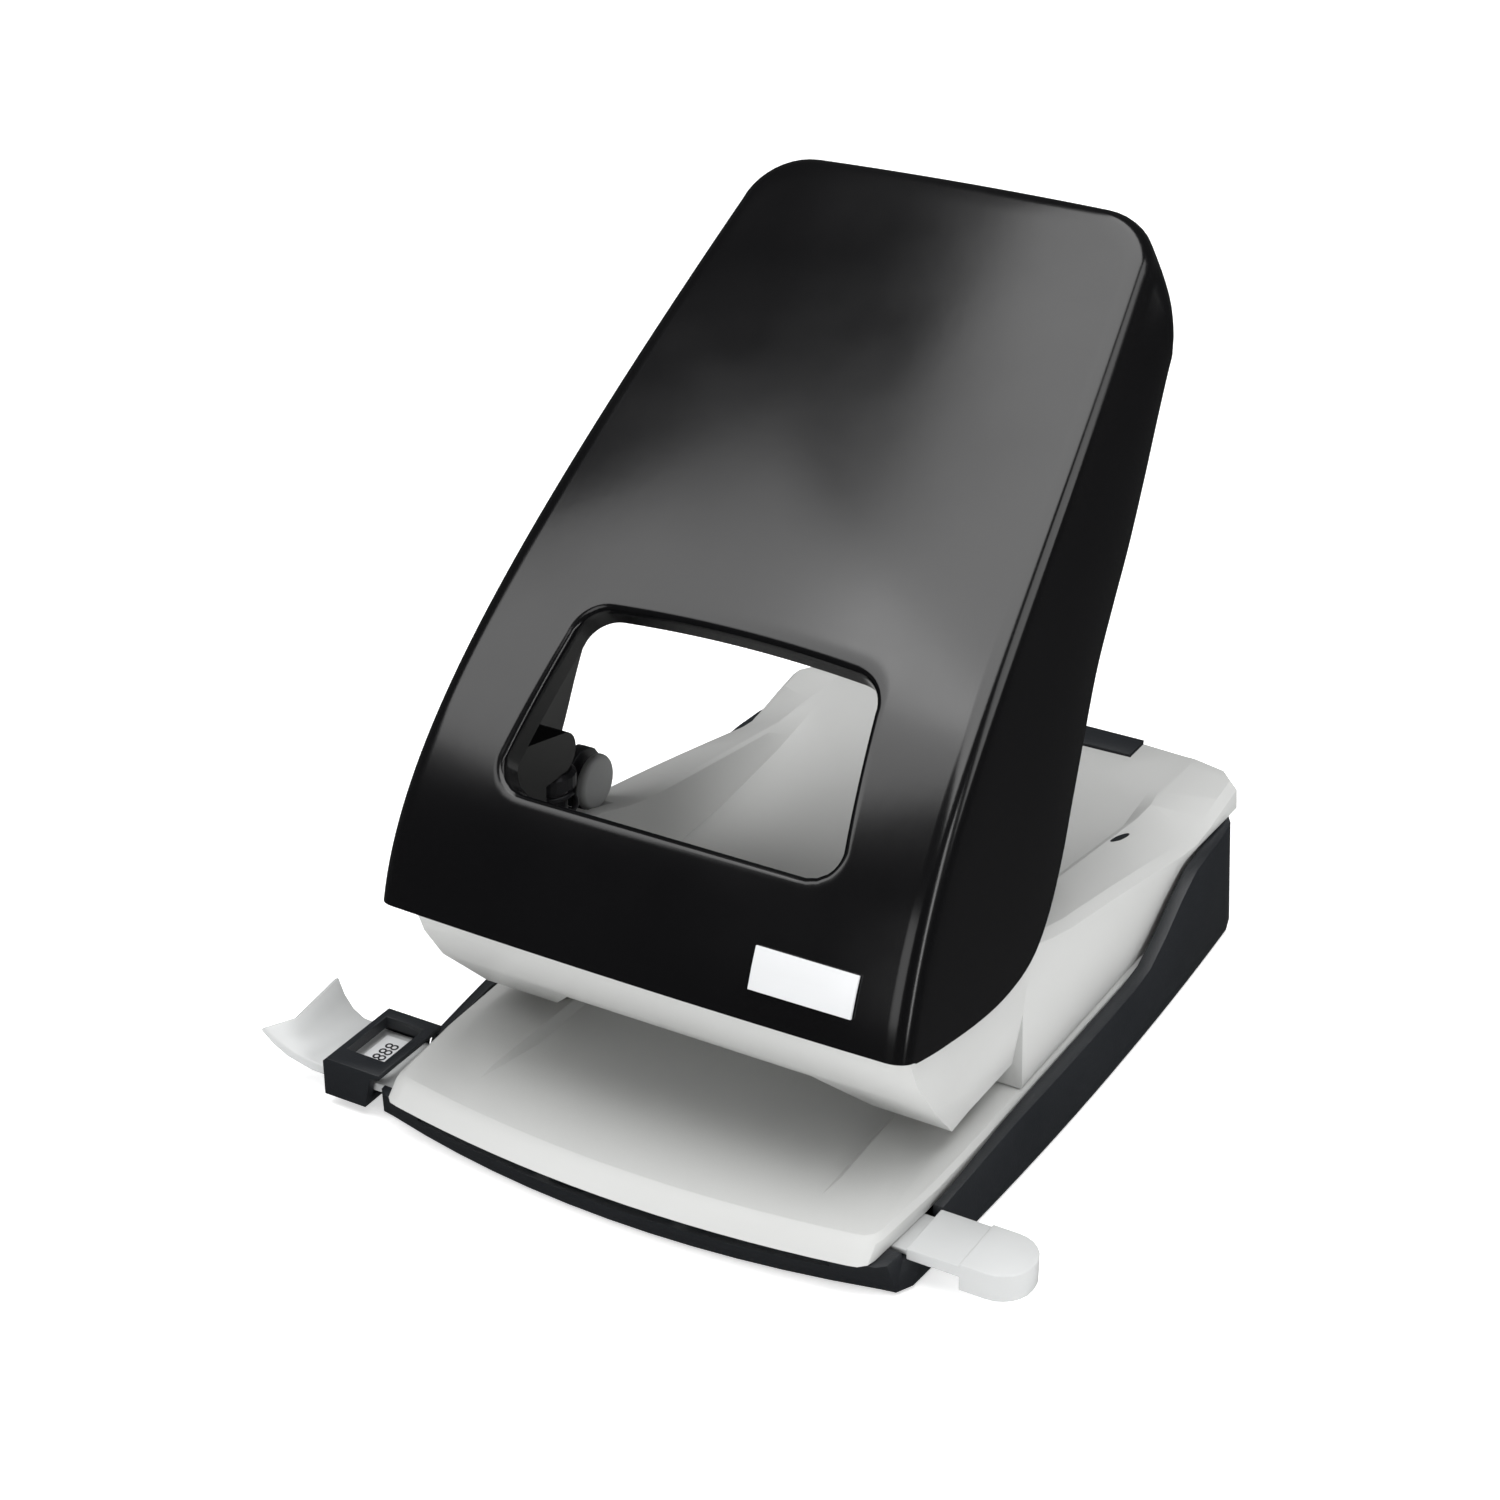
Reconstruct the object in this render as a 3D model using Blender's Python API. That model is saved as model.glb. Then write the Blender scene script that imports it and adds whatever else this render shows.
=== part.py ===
"""Two-hole office punch with a tall pressed-steel lever, a die-cast frame and a plastic chip tray.

Sizes are in millimetres and the meshes are built in metres, +Z up.
X runs along the line of the two punches and +Y points to the rear, away from the paper mouth.
The origin is on the chip tray's flat underside, midway between its sides and 8.5 in front of the line of the punches.
"""

import math

import bmesh
import bpy
from mathutils import Vector

for old in list(bpy.data.objects):
    bpy.data.objects.remove(old, do_unlink=True)

MM = 0.001
GAP = 0.3
SMALL = 0.0001
WELD = 0.002

# Punching geometry, the sizes that the paper standard fixes
HOLE_SPACING = 80.0
HOLE_DIAMETER = 5.5
PUNCH_Y = 8.5
STOP_DISTANCE = 68.5

# Chip tray
TRAY_FRONT_Y = -30.0
TRAY_FRONT_BOW = 7.6
TRAY_FRONT_LEAN = 2.3
TRAY_FRONT_HALF = 54.0
TRAY_WIDEST_HALF = 56.55
TRAY_WIDEST_Y = 44.0
TRAY_FRONT_NARROWING = 2.55
TRAY_REAR_NARROWING = 2.0
TRAY_REAR_Y = 114.5
TRAY_REAR_BOW = 5.0
TRAY_REAR_LEAN = 2.4
TRAY_FLARE = 2.1
TRAY_FLOOR = 1.6
TRAY_WALL_GAP = 0.6
TRAY_FRONT_WALL = 1.7
TRAY_FRONT_INNER_SHARE = 0.96
TRAY_REAR_WALL = 2.2
TRAY_FRONT_CORNER = 4.0
TRAY_REAR_CORNER = 9.0
RIM_FRONT_Z = 6.0
RIM_SIDE_Z = 9.6
RIM_REAR_Z = 21.0
RIM_RISE_START_Y = 64.0
RIM_RISE_END_Y = 94.0
RIM_NOSE_Z = 6.0
TRAY_FRONT_NOTCH_HALF = 42.0
TRAY_FRONT_NOTCH_Z = 3.9
TAB_HALF = 28.0
TAB_FRONT_Y = 115.0
TAB_REAR_Y = 122.2
TAB_TOP_Z = 28.0
TAB_BOTTOM_Z = 8.0
FOOT_RADIUS = 6.0
FOOT_PROUD = 0.8
FOOT_RECESS = 0.8
FOOT_X = 43.0
FOOT_FRONT_Y = -18.0
FOOT_REAR_Y = 102.0

# Guide bar, end stop, format window and release tab
CHANNEL_FRONT_Y = -31.0
CHANNEL_REAR_Y = -14.4
CHANNEL_FLOOR_Z = 3.5
CHANNEL_LEDGE_END = 60.0
LEDGE_HALF = 51.0
BAR_THICK = 1.8
BAR_LEFT_X = -64.4
BAR_RIGHT_X = 40.0
TAB_SLOT_FLOOR_Z = 4.7
WINDOW_FRAME_LEFT_X = -64.0
WINDOW_FRAME_RIGHT_X = -51.4
WINDOW_FRAME_FRONT_Y = -33.0
WINDOW_FRAME_REAR_Y = -13.6
WINDOW_FRAME_BOTTOM_Z = 1.4
WINDOW_FRAME_TOP_Z = 9.3
WINDOW_FRAME_SLAB_Z = 7.9
WINDOW_OPENING_LEFT_X = -61.9
WINDOW_OPENING_RIGHT_X = -53.4
WINDOW_OPENING_FRONT_Y = -28.6
WINDOW_OPENING_REAR_Y = -16.2
LABEL_THICK = 0.5
LABEL_WIDE = 6.4
LABEL_LONG = 9.6
STOP_TOP_REAR_Z = 13.2
STOP_TOP_FRONT_Z = 9.7
RELEASE_FRONT_Y = -27.6
RELEASE_REAR_Y = -14.8
RELEASE_INNER_X = 44.0
RELEASE_STEP_X = 52.7
RELEASE_PAD_X = 62.5
RELEASE_TIP_X = 73.4
RELEASE_TOP_Z = 7.2
RELEASE_UNDER_Z = 5.0
RELEASE_PAD_UNDER_Z = 2.4
RELEASE_SHANK_TOP_Z = 6.0

# Tray hinge
HINGE_Y = -35.2
HINGE_Z = 5.0
HINGE_PIN_RADIUS = 0.8
HINGE_LUG_RADIUS = 1.5
HINGE_POST_HALF = 1.2
HINGE_LUG_INNER_X = 12.5
HINGE_LUG_OUTER_X = 15.5
HINGE_POST_WIDE = 2.7

# Base plate
PLATE_BOTTOM_Z = 6.3
PLATE_TOP_Z = 9.8
PLATE_HALF = 51.0
PLATE_FRONT_NARROWING = 2.2
PLATE_NARROWING_LENGTH = 31.0
PLATE_WIDE_Y = 1.0
PLATE_REAR_NARROWING = 1.6
PLATE_REAR_NARROWING_Y = 60.0
PLATE_FRONT_CENTRE_Y = -39.9
PLATE_FRONT_BOW = 6.0
PLATE_NOSE_SLOPE = 3.9
PLATE_REAR_Y = 113.8
PLATE_CORNER = 3.5
PLATE_EDGE = 0.9
RECESS_HALF_REAR = 33.5
RECESS_HALF_FRONT = 35.0
RECESS_REAR_Y = 19.9
RECESS_FLAT_Y = -8.0
RECESS_FRONT_Y = -25.0
RECESS_DEPTH = 1.7
DIE_RADIUS = 5.0
DIE_HEIGHT = 3.2

# Punch frame
FRAME_BOTTOM_Z = 10.1
FRAME_HALF = 50.6
FRAME_DRAFT = 0.05
FRAME_TOP_Z = 42.0
FRAME_DECK_Z = 28.0
SHOULDER_DIP_Z = 23.6
FRAME_REAR_Y = 122.6
FRAME_REAR_BOW = 4.2
RAIL_INNER_X = 39.2
RAIL_FOOT_X = 37.4
TROUGH_FLOOR_Z = 22.0
TROUGH_FRONT_Y = 16.0
TROUGH_CREASE_X = 24.0
TROUGH_CREASE_DROP = 0.4
THROAT_REAR_Y = 20.5
THROAT_TOP_Z = 14.8
THROAT_MOUTH_Y = 3.0
FOOT_TIP_Y = -2.8
FOOT_SIDE_X = 48.4
FOOT_SIDE_TOP_Z = 30.0
FOOT_TIP_Z = 14.3
NOTCH_FOOT_X = 33.0
NOTCH_LIP_X = 25.0
NOTCH_LIP_Z = 22.6
NOTCH_REAR_Y = 12.0
CAVITY_HALF = 35.0
CAVITY_FRONT_Y = 26.0
CAVITY_REAR_Y = 110.0
CAVITY_TOP_Z = 18.8
LIP_STEP_Y = 113.8
LIP_STEP_Z = 21.4
TAB_NOTCH_GAP = 0.4
EAR_INNER_X = 45.4
EAR_OUTER_X = 49.2
EAR_RADIUS = 5.5
EAR_ROOT_Z = 38.0
SCREW_X = 43.0
SCREW_FRONT_Y = 26.0
SCREW_REAR_Y = 100.0
SCREW_RADIUS = 1.5
SCREW_HEAD_RADIUS = 3.0
SCREW_HEAD_THICK = 1.6
SCREW_LENGTH = 10.0

# Lever handle
AXLE_Y = -17.5
AXLE_Z = 49.0
AXLE_RADIUS = 3.0
AXLE_HALF = 50.6
FACE_START_Y = -29.3
FACE_START_Z = 43.8
FACE_SLOPE_TIP = 34.5
FACE_SLOPE_FALL = 42.0
FACE_SLOPE_LENGTH = 33.0
FACE_SLOPE_POWER = 1.1
FACE_LENGTH = 161.0
HANDLE_HALF = 52.4
HANDLE_TAPER = 0.020
HANDLE_TAPER_CURVE = 0.0009
HANDLE_TAPER_Z = 43.0
HANDLE_SHEET = 1.2
HANDLE_EDGE_ROUND = 3.5
HANDLE_TIP_CORNER = 12.0
HANDLE_CROWN = 1.2
HANDLE_TIP_FLANGE = 10.5
HANDLE_WINDOW_START = 25.5
HANDLE_WINDOW_END = 60.5
HANDLE_WINDOW_HALF_LOW = 33.0
HANDLE_WINDOW_HALF_HIGH = 29.5
HANDLE_WINDOW_CORNER = 5.5
HANDLE_WINDOW_CROWN = 1.5
HANDLE_WINDOW_LIP = 5.5
HANDLE_WINDOW_LIP_SHEET = 1.2
BADGE_LOW = 5.6
BADGE_HIGH = 12.9
BADGE_LEFT_X = 23.2
BADGE_RIGHT_X = 42.2
BADGE_THICK = 0.6

# Press cams, punches and springs
CAM_NOSE_Y = 7.5
CAM_NOSE_Z = 60.3
CAM_NOSE_RADIUS = 4.0
CAM_HUB_RADIUS = 5.0
CAM_HALF_WIDE = 3.4
CAM_WEB_LOW = 12.0
CAM_WEB_HIGH = 30.0
PIN_TIP_Z = 19.3
PIN_HEAD_TOP_Z = 56.0
PIN_HEAD_THICK = 3.0
PIN_HEAD_RADIUS = 4.5
BUSH_RADIUS = 4.5
BUSH_FLANGE_RADIUS = 5.4
BUSH_FLANGE_THICK = 1.2
BUSH_SEAT_Z = 27.7
SPRING_BORE_RADIUS = 5.8
SPRING_RADIUS = 4.3
SPRING_WIRE = 0.5
SPRING_TURNS = 6.0

# Handle lock
LOCK_Y = 28.0
LOCK_Z = 43.0
LOCK_DISC_RADIUS = 5.5
LOCK_DISC_INNER_X = -42.6
LOCK_DISC_OUTER_X = -44.4
LOCK_SPINDLE_RADIUS = 2.0
LOCK_SPINDLE_TIP_X = -47.4
LOCK_PLATE_INNER_X = -46.0
LOCK_PLATE_OUTER_X = -48.7
LOCK_PLATE_RADIUS = 6.2
LOCK_PLATE_HALF = 3.8
LOCK_PLATE_ROOT_Z = 32.0

STEPS_ROUND = 24
STEPS_SMALL = 16
DISC_TURN = 4.0


def make_material(name, colour, metallic, roughness):
    """A Principled material of one plain colour."""
    material = bpy.data.materials.new(name)
    material.use_nodes = True
    shader = material.node_tree.nodes["Principled BSDF"]
    shader.inputs["Base Color"].default_value = (*colour, 1.0)
    shader.inputs["Metallic"].default_value = metallic
    shader.inputs["Roughness"].default_value = roughness
    material.diffuse_color = (*colour, 1.0)
    return material


MATERIALS = {
    "black_plastic": make_material("black_plastic", (0.02, 0.022, 0.025), 0.0, 0.55),
    "grey_paint": make_material("grey_paint", (0.62, 0.63, 0.62), 0.0, 0.42),
    "black_paint": make_material("black_paint", (0.01, 0.01, 0.012), 0.0, 0.14),
    "grey_plastic": make_material("grey_plastic", (0.66, 0.67, 0.66), 0.0, 0.4),
    "steel": make_material("steel", (0.6, 0.6, 0.62), 1.0, 0.3),
    "brass": make_material("brass", (0.72, 0.55, 0.3), 1.0, 0.35),
    "rubber": make_material("rubber", (0.03, 0.03, 0.03), 0.0, 0.85),
    "label": make_material("label", (0.85, 0.86, 0.87), 0.0, 0.5),
}


def blend(low, high, value):
    """0 below low, 1 above high, and a smooth rise between them."""
    t = min(max((value - low) / (high - low), 0.0), 1.0)
    return t * t * (3.0 - 2.0 * t)


def mix(start, end, t):
    return start + (end - start) * t


def from_lists(name, points, faces):
    """An object in metres from points in millimetres, its faces pointing outwards."""
    mesh = bmesh.new()
    corners = [mesh.verts.new(Vector(point) * MM) for point in points]
    for face in faces:
        mesh.faces.new([corners[index] for index in face])
    bmesh.ops.remove_doubles(mesh, verts=mesh.verts[:], dist=SMALL * MM)
    bmesh.ops.triangulate(mesh, faces=mesh.faces[:])
    bmesh.ops.recalc_face_normals(mesh, faces=mesh.faces[:])
    if mesh.calc_volume(signed=True) < 0.0:
        bmesh.ops.reverse_faces(mesh, faces=mesh.faces[:])
    data = bpy.data.meshes.new(name)
    mesh.to_mesh(data)
    mesh.free()
    obj = bpy.data.objects.new(name, data)
    bpy.context.scene.collection.objects.link(obj)
    return obj


def loft(name, rings, closed=False):
    """Joins rings of equally many points, with the two ends filled or joined to each other."""
    count = len(rings[0])
    points = [point for ring in rings for point in ring]
    faces = []
    last = len(rings) if closed else len(rings) - 1
    for i in range(last):
        here = i * count
        there = (i + 1) % len(rings) * count
        for j in range(count):
            k = (j + 1) % count
            faces.append((here + j, here + k, there + k, there + j))
    if not closed:
        faces.append(tuple(range(count)))
        faces.append(tuple(range((len(rings) - 1) * count, len(rings) * count)))
    return from_lists(name, points, faces)


def prism(name, outline, axis, start, end):
    """A flat outline stretched along one axis: the outline is in the other two, in order."""
    def place(point, level):
        a, b = point
        return {"X": (level, a, b), "Y": (a, level, b), "Z": (a, b, level)}[axis]

    return loft(name, [[place(point, level) for point in outline] for level in (start, end)])


def block(name, low, high):
    x0, y0, z0 = low
    x1, y1, z1 = high
    return prism(name, [(x0, y0), (x1, y0), (x1, y1), (x0, y1)], "Z", z0, z1)


def arc(centre, radius, start, end, steps):
    """Points of an arc in degrees, both ends included."""
    found = []
    for i in range(steps + 1):
        angle = math.radians(mix(start, end, i / steps))
        found.append((centre[0] + radius * math.cos(angle), centre[1] + radius * math.sin(angle)))
    return found


def disc(name, centre, radius, axis, start, end, steps=STEPS_ROUND):
    """A cylinder along an axis: centre holds the other two coordinates."""
    return prism(name, arc(centre, radius, DISC_TURN, 360.0 + DISC_TURN, steps)[:-1], axis, start, end)


def turned(name, profile, x, y, steps=STEPS_ROUND):
    """A closed profile of (radius, height) turned about an upright axis at (x, y)."""
    rings = []
    for i in range(steps):
        angle = 2.0 * math.pi * i / steps
        rings.append([(x + r * math.cos(angle), y + r * math.sin(angle), z) for r, z in profile])
    return loft(name, rings, closed=True)


def turned_solid(name, profile, x, y, steps=STEPS_ROUND):
    """A stack of discs, (radius, height) from bottom to top, as one solid."""
    rings = []
    for radius, height in profile:
        ring = arc((x, y), radius, 0.0, 360.0, steps)[:-1]
        rings.append([(a, b, height) for a, b in ring])
    return loft(name, rings)


def tidy_mesh(data):
    """Merges points that a Boolean leaves on top of each other and splits its faces into triangles."""
    mesh = bmesh.new()
    mesh.from_mesh(data)
    bmesh.ops.remove_doubles(mesh, verts=mesh.verts[:], dist=WELD * MM)
    bmesh.ops.dissolve_degenerate(mesh, edges=mesh.edges[:], dist=SMALL * MM)
    bmesh.ops.triangulate(mesh, faces=mesh.faces[:])
    mesh.to_mesh(data)
    mesh.free()


def boolean(target, tool, operation):
    """Applies one Boolean and removes the tool."""
    tool.hide_render = True
    tool.display_type = "WIRE"
    modifier = target.modifiers.new(operation.title(), "BOOLEAN")
    modifier.operation = operation
    modifier.solver = "EXACT"
    modifier.object = tool
    graph = bpy.context.evaluated_depsgraph_get()
    result = bpy.data.meshes.new_from_object(target.evaluated_get(graph))
    target.modifiers.clear()
    tidy_mesh(result)
    target.data = result
    bpy.data.objects.remove(tool, do_unlink=True)


def cut(target, *tools):
    for tool in tools:
        boolean(target, tool, "DIFFERENCE")


def join(target, *tools):
    for tool in tools:
        boolean(target, tool, "UNION")


def axis_empty(name, place, parent=None):
    """An empty on a joint's axis, which the moving pieces hang from."""
    empty = bpy.data.objects.new(name, None)
    empty.empty_display_size = 10.0 * MM
    bpy.context.scene.collection.objects.link(empty)
    start = Vector((0.0, 0.0, 0.0))
    if parent:
        start = Vector(parent["place"])
        empty.parent = parent
    empty.location = (Vector(place) - start) * MM
    empty["place"] = place
    return empty


def finish(obj, material, parent=None, place=(0.0, 0.0, 0.0), smooth=35.0):
    """Gives the piece its material and its origin, hangs it from its parent and sets its shading."""
    obj.data.materials.clear()
    obj.data.materials.append(MATERIALS[material])
    origin = Vector(place) * MM
    for vertex in obj.data.vertices:
        vertex.co -= origin
    start = Vector((0.0, 0.0, 0.0))
    if parent:
        start = Vector(parent["place"]) * MM
        obj.parent = parent
    obj.location = origin - start
    obj.data.shade_smooth()
    obj.data.set_sharp_from_angle(angle=math.radians(smooth))
    return obj


# ---------------------------------------------------------------- shared outlines


def tray_half(y):
    """Half-width of the tray's bottom outline."""
    if y < TRAY_WIDEST_Y:
        t = (TRAY_WIDEST_Y - y) / (TRAY_WIDEST_Y - TRAY_FRONT_Y)
        return TRAY_WIDEST_HALF - TRAY_FRONT_NARROWING * t * t
    t = (y - TRAY_WIDEST_Y) / (TRAY_REAR_Y - TRAY_WIDEST_Y)
    return TRAY_WIDEST_HALF - TRAY_REAR_NARROWING * t * t


def lower_half(y):
    """Half-width of the base plate and of the frame's foot, which sit inside the tray's rim."""
    if y < PLATE_WIDE_Y:
        t = (PLATE_WIDE_Y - y) / PLATE_NARROWING_LENGTH
        return PLATE_HALF - PLATE_FRONT_NARROWING * t * t
    t = max(y - PLATE_REAR_NARROWING_Y, 0.0) / (TRAY_REAR_Y - PLATE_REAR_NARROWING_Y)
    return PLATE_HALF - PLATE_REAR_NARROWING * t * t


def rim_height(y):
    """Height of the tray's rim: low beside the paper mouth, high round the rear."""
    front = mix(RIM_FRONT_Z, RIM_SIDE_Z, blend(TRAY_FRONT_Y - 8.0, TRAY_FRONT_Y + 50.0, y))
    return mix(front, RIM_REAR_Z, blend(RIM_RISE_START_Y, RIM_RISE_END_Y, y))


# ---------------------------------------------------------------- chip tray


def tray_outline():
    """Right half of the tray from the front centre to the rear centre, as (bottom, top, inner) points."""
    found = []
    front_steps = 6
    for i in range(front_steps + 1):
        x = (TRAY_FRONT_HALF - TRAY_FRONT_CORNER) * i / front_steps
        y = TRAY_FRONT_Y - TRAY_FRONT_BOW * (1.0 - (x / TRAY_FRONT_HALF) ** 2)
        top = (x, y - TRAY_FRONT_LEAN, RIM_NOSE_Z)
        narrow = x * TRAY_FRONT_INNER_SHARE
        inner = (narrow, y - TRAY_FRONT_LEAN + TRAY_FRONT_WALL, RIM_NOSE_Z)
        found.append(((x, y, 0.0), top, inner, (narrow, y + TRAY_FRONT_WALL, TRAY_FLOOR)))
    y = TRAY_FRONT_Y - 0.6
    x = tray_half(TRAY_FRONT_Y) - 1.4
    top = (x - TRAY_FLARE * 0.5, y - 1.6, rim_height(y))
    inner = (lower_half(y) + TRAY_WALL_GAP, y - 0.2, rim_height(y))
    found.append(((x, y, 0.0), top, inner, (inner[0], inner[1] + 0.6, TRAY_FLOOR)))
    side_steps = 18
    first = TRAY_FRONT_Y + 2.6
    last = TRAY_REAR_Y - TRAY_REAR_CORNER
    for i in range(side_steps + 1):
        y = mix(first, last, i / side_steps)
        x = tray_half(y)
        z = rim_height(y)
        inside = lower_half(y) + TRAY_WALL_GAP
        found.append(((x, y, 0.0), (x - TRAY_FLARE, y, z), (inside, y, z), (inside, y, TRAY_FLOOR)))
    corner_x = tray_half(last) - TRAY_REAR_CORNER
    wall = tray_half(last) - TRAY_FLARE - lower_half(last) - TRAY_WALL_GAP
    for angle in (30.0, 60.0, 90.0):
        turn = math.radians(angle)
        side = math.cos(turn)
        back = math.sin(turn)
        x = corner_x + TRAY_REAR_CORNER * side
        y = last + TRAY_REAR_CORNER * back
        out_x = x - TRAY_FLARE * side
        out_y = y + TRAY_REAR_LEAN * back
        top = (out_x, out_y, RIM_REAR_Z)
        thick = mix(wall, TRAY_REAR_WALL, back)
        inner = (out_x - thick * side, out_y - thick * back, RIM_REAR_Z)
        floor = (x - thick * side, y - thick * back, TRAY_FLOOR)
        found.append(((x, y, 0.0), top, inner, floor))
    rear_steps = 4
    for i in range(1, rear_steps + 1):
        x = corner_x * (1.0 - i / rear_steps)
        bow = TRAY_REAR_BOW * (1.0 - (x / corner_x) ** 2)
        y = TRAY_REAR_Y + bow
        top = (x, y + TRAY_REAR_LEAN, RIM_REAR_Z)
        inner = (x, y + TRAY_REAR_LEAN - TRAY_REAR_WALL, RIM_REAR_Z)
        found.append(((x, y, 0.0), top, inner, (x, y - TRAY_REAR_WALL, TRAY_FLOOR)))
    return found


def chip_tray():
    """A tub with leaning walls, a low nose under the plate, a high rear and a tab in the rear edge."""
    half = tray_outline()
    other = [tuple((-x, y, z) for x, y, z in spot) for spot in half[1:-1]]
    around = half + other[::-1]
    tray = loft("chip_tray", [[spot[level] for spot in around] for level in range(4)])
    tab = block(
        "tab",
        (-TAB_HALF, TAB_FRONT_Y, TAB_BOTTOM_Z),
        (TAB_HALF, TAB_REAR_Y, TAB_TOP_Z),
    )
    ledge = block(
        "ledge",
        (-LEDGE_HALF, CHANNEL_FRONT_Y, TRAY_FLOOR - 0.6),
        (LEDGE_HALF, CHANNEL_REAR_Y, CHANNEL_FLOOR_Z),
    )
    join(tray, tab, ledge)
    notch = block(
        "notch",
        (-TRAY_FRONT_NOTCH_HALF, TRAY_FRONT_Y - 15.0, TRAY_FRONT_NOTCH_Z),
        (TRAY_FRONT_NOTCH_HALF, CHANNEL_FRONT_Y - 1.5, RIM_REAR_Z),
    )
    left_slot = block(
        "left_slot",
        (-CHANNEL_LEDGE_END, CHANNEL_FRONT_Y, CHANNEL_FLOOR_Z + 0.01),
        (-TRAY_FRONT_HALF + 6.0, CHANNEL_REAR_Y, RIM_SIDE_Z + 1.0),
    )
    right_slot = block(
        "right_slot",
        (TRAY_FRONT_HALF - 6.0, RELEASE_FRONT_Y - GAP, TAB_SLOT_FLOOR_Z),
        (CHANNEL_LEDGE_END, RELEASE_REAR_Y + GAP, RIM_SIDE_Z + 1.0),
    )
    cut(tray, notch, left_slot, right_slot)
    for x in (-FOOT_X, FOOT_X):
        for y in (FOOT_FRONT_Y, FOOT_REAR_Y):
            cut(tray, disc("pocket", (x, y), FOOT_RADIUS + GAP, "Z", -1.0, FOOT_RECESS))
    for side in (-1.0, 1.0):
        for start in (HINGE_LUG_INNER_X - GAP - HINGE_POST_WIDE, HINGE_LUG_OUTER_X + GAP):
            outline = [
                (HINGE_Y - HINGE_POST_HALF, TRAY_FLOOR - 0.6),
                (HINGE_Y + HINGE_POST_HALF, TRAY_FLOOR - 0.6),
                *arc((HINGE_Y, HINGE_Z), HINGE_POST_HALF, 0.0, 180.0, 6),
            ]
            low, high = sorted((side * start, side * (start + HINGE_POST_WIDE)))
            post = prism("post", outline, "X", low, high)
            bore = disc("bore", (HINGE_Y, HINGE_Z), HINGE_PIN_RADIUS + GAP * 0.5, "X", low - 1, high + 1, 12)
            cut(post, bore)
            join(tray, post)
    return tray


finish(chip_tray(), "black_plastic")

for side_name, side in (("left", -1.0), ("right", 1.0)):
    for end_name, foot_y in (("front", FOOT_FRONT_Y), ("rear", FOOT_REAR_Y)):
        pad = turned_solid(
            f"rubber_foot_{end_name}_{side_name}",
            [
                (FOOT_RADIUS - 0.5, -FOOT_PROUD),
                (FOOT_RADIUS, -FOOT_PROUD + 0.5),
                (FOOT_RADIUS, FOOT_RECESS - GAP),
            ],
            side * FOOT_X,
            foot_y,
        )
        finish(pad, "rubber")


def hinge_pin(side):
    low = HINGE_LUG_INNER_X - GAP - HINGE_POST_WIDE + 0.2
    high = HINGE_LUG_OUTER_X + GAP + HINGE_POST_WIDE - 0.2
    start, end = sorted((side * low, side * high))
    return start, end


for side_name, side in (("left", -1.0), ("right", 1.0)):
    pin_start, pin_end = hinge_pin(side)
    pin = disc(
        f"tray_hinge_pin_{side_name}",
        (HINGE_Y, HINGE_Z),
        HINGE_PIN_RADIUS - GAP * 0.5,
        "X",
        pin_start,
        pin_end,
        12,
    )
    finish(pin, "steel")

# ---------------------------------------------------------------- format window


def format_window_frame():
    """A black bridge over the guide bar with an opening that shows the format label."""
    bridge = prism(
        "format_window_frame",
        [
            (WINDOW_FRAME_LEFT_X, WINDOW_FRAME_BOTTOM_Z),
            (-tray_half(-22.0) - GAP - 0.1, WINDOW_FRAME_BOTTOM_Z),
            (-tray_half(-22.0) + TRAY_FLARE * 0.6 - GAP, WINDOW_FRAME_SLAB_Z),
            (WINDOW_FRAME_RIGHT_X, WINDOW_FRAME_SLAB_Z + 0.5),
            (WINDOW_FRAME_RIGHT_X, WINDOW_FRAME_TOP_Z),
            (WINDOW_FRAME_LEFT_X + 0.8, WINDOW_FRAME_TOP_Z),
            (WINDOW_FRAME_LEFT_X, WINDOW_FRAME_TOP_Z - 0.8),
        ],
        "Y",
        WINDOW_FRAME_FRONT_Y,
        WINDOW_FRAME_REAR_Y,
    )
    tunnel = block(
        "tunnel",
        (WINDOW_FRAME_LEFT_X - 2.0, CHANNEL_FRONT_Y, CHANNEL_FLOOR_Z - 0.6),
        (WINDOW_FRAME_RIGHT_X + 2.0, CHANNEL_REAR_Y, CHANNEL_FLOOR_Z + GAP + BAR_THICK + LABEL_THICK + 3 * GAP),
    )
    opening = block(
        "opening",
        (WINDOW_OPENING_LEFT_X, WINDOW_OPENING_FRONT_Y, CHANNEL_FLOOR_Z),
        (WINDOW_OPENING_RIGHT_X, WINDOW_OPENING_REAR_Y, WINDOW_FRAME_TOP_Z + 1.0),
    )
    cut(bridge, tunnel, opening)
    return bridge


finish(format_window_frame(), "black_plastic")

# ---------------------------------------------------------------- guide bar

BAR_BOTTOM_Z = CHANNEL_FLOOR_Z + GAP
BAR_TOP_Z = BAR_BOTTOM_Z + BAR_THICK
BAR_FRONT_Y = CHANNEL_FRONT_Y + 0.5
BAR_REAR_Y = CHANNEL_REAR_Y - 0.6
guide_axis = axis_empty("guide_slide", (BAR_LEFT_X, (BAR_FRONT_Y + BAR_REAR_Y) * 0.5, BAR_BOTTOM_Z))
bar = block("guide_bar", (BAR_LEFT_X, BAR_FRONT_Y, BAR_BOTTOM_Z), (BAR_RIGHT_X, BAR_REAR_Y, BAR_TOP_Z))
finish(bar, "grey_plastic", guide_axis, guide_axis["place"])


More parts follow.
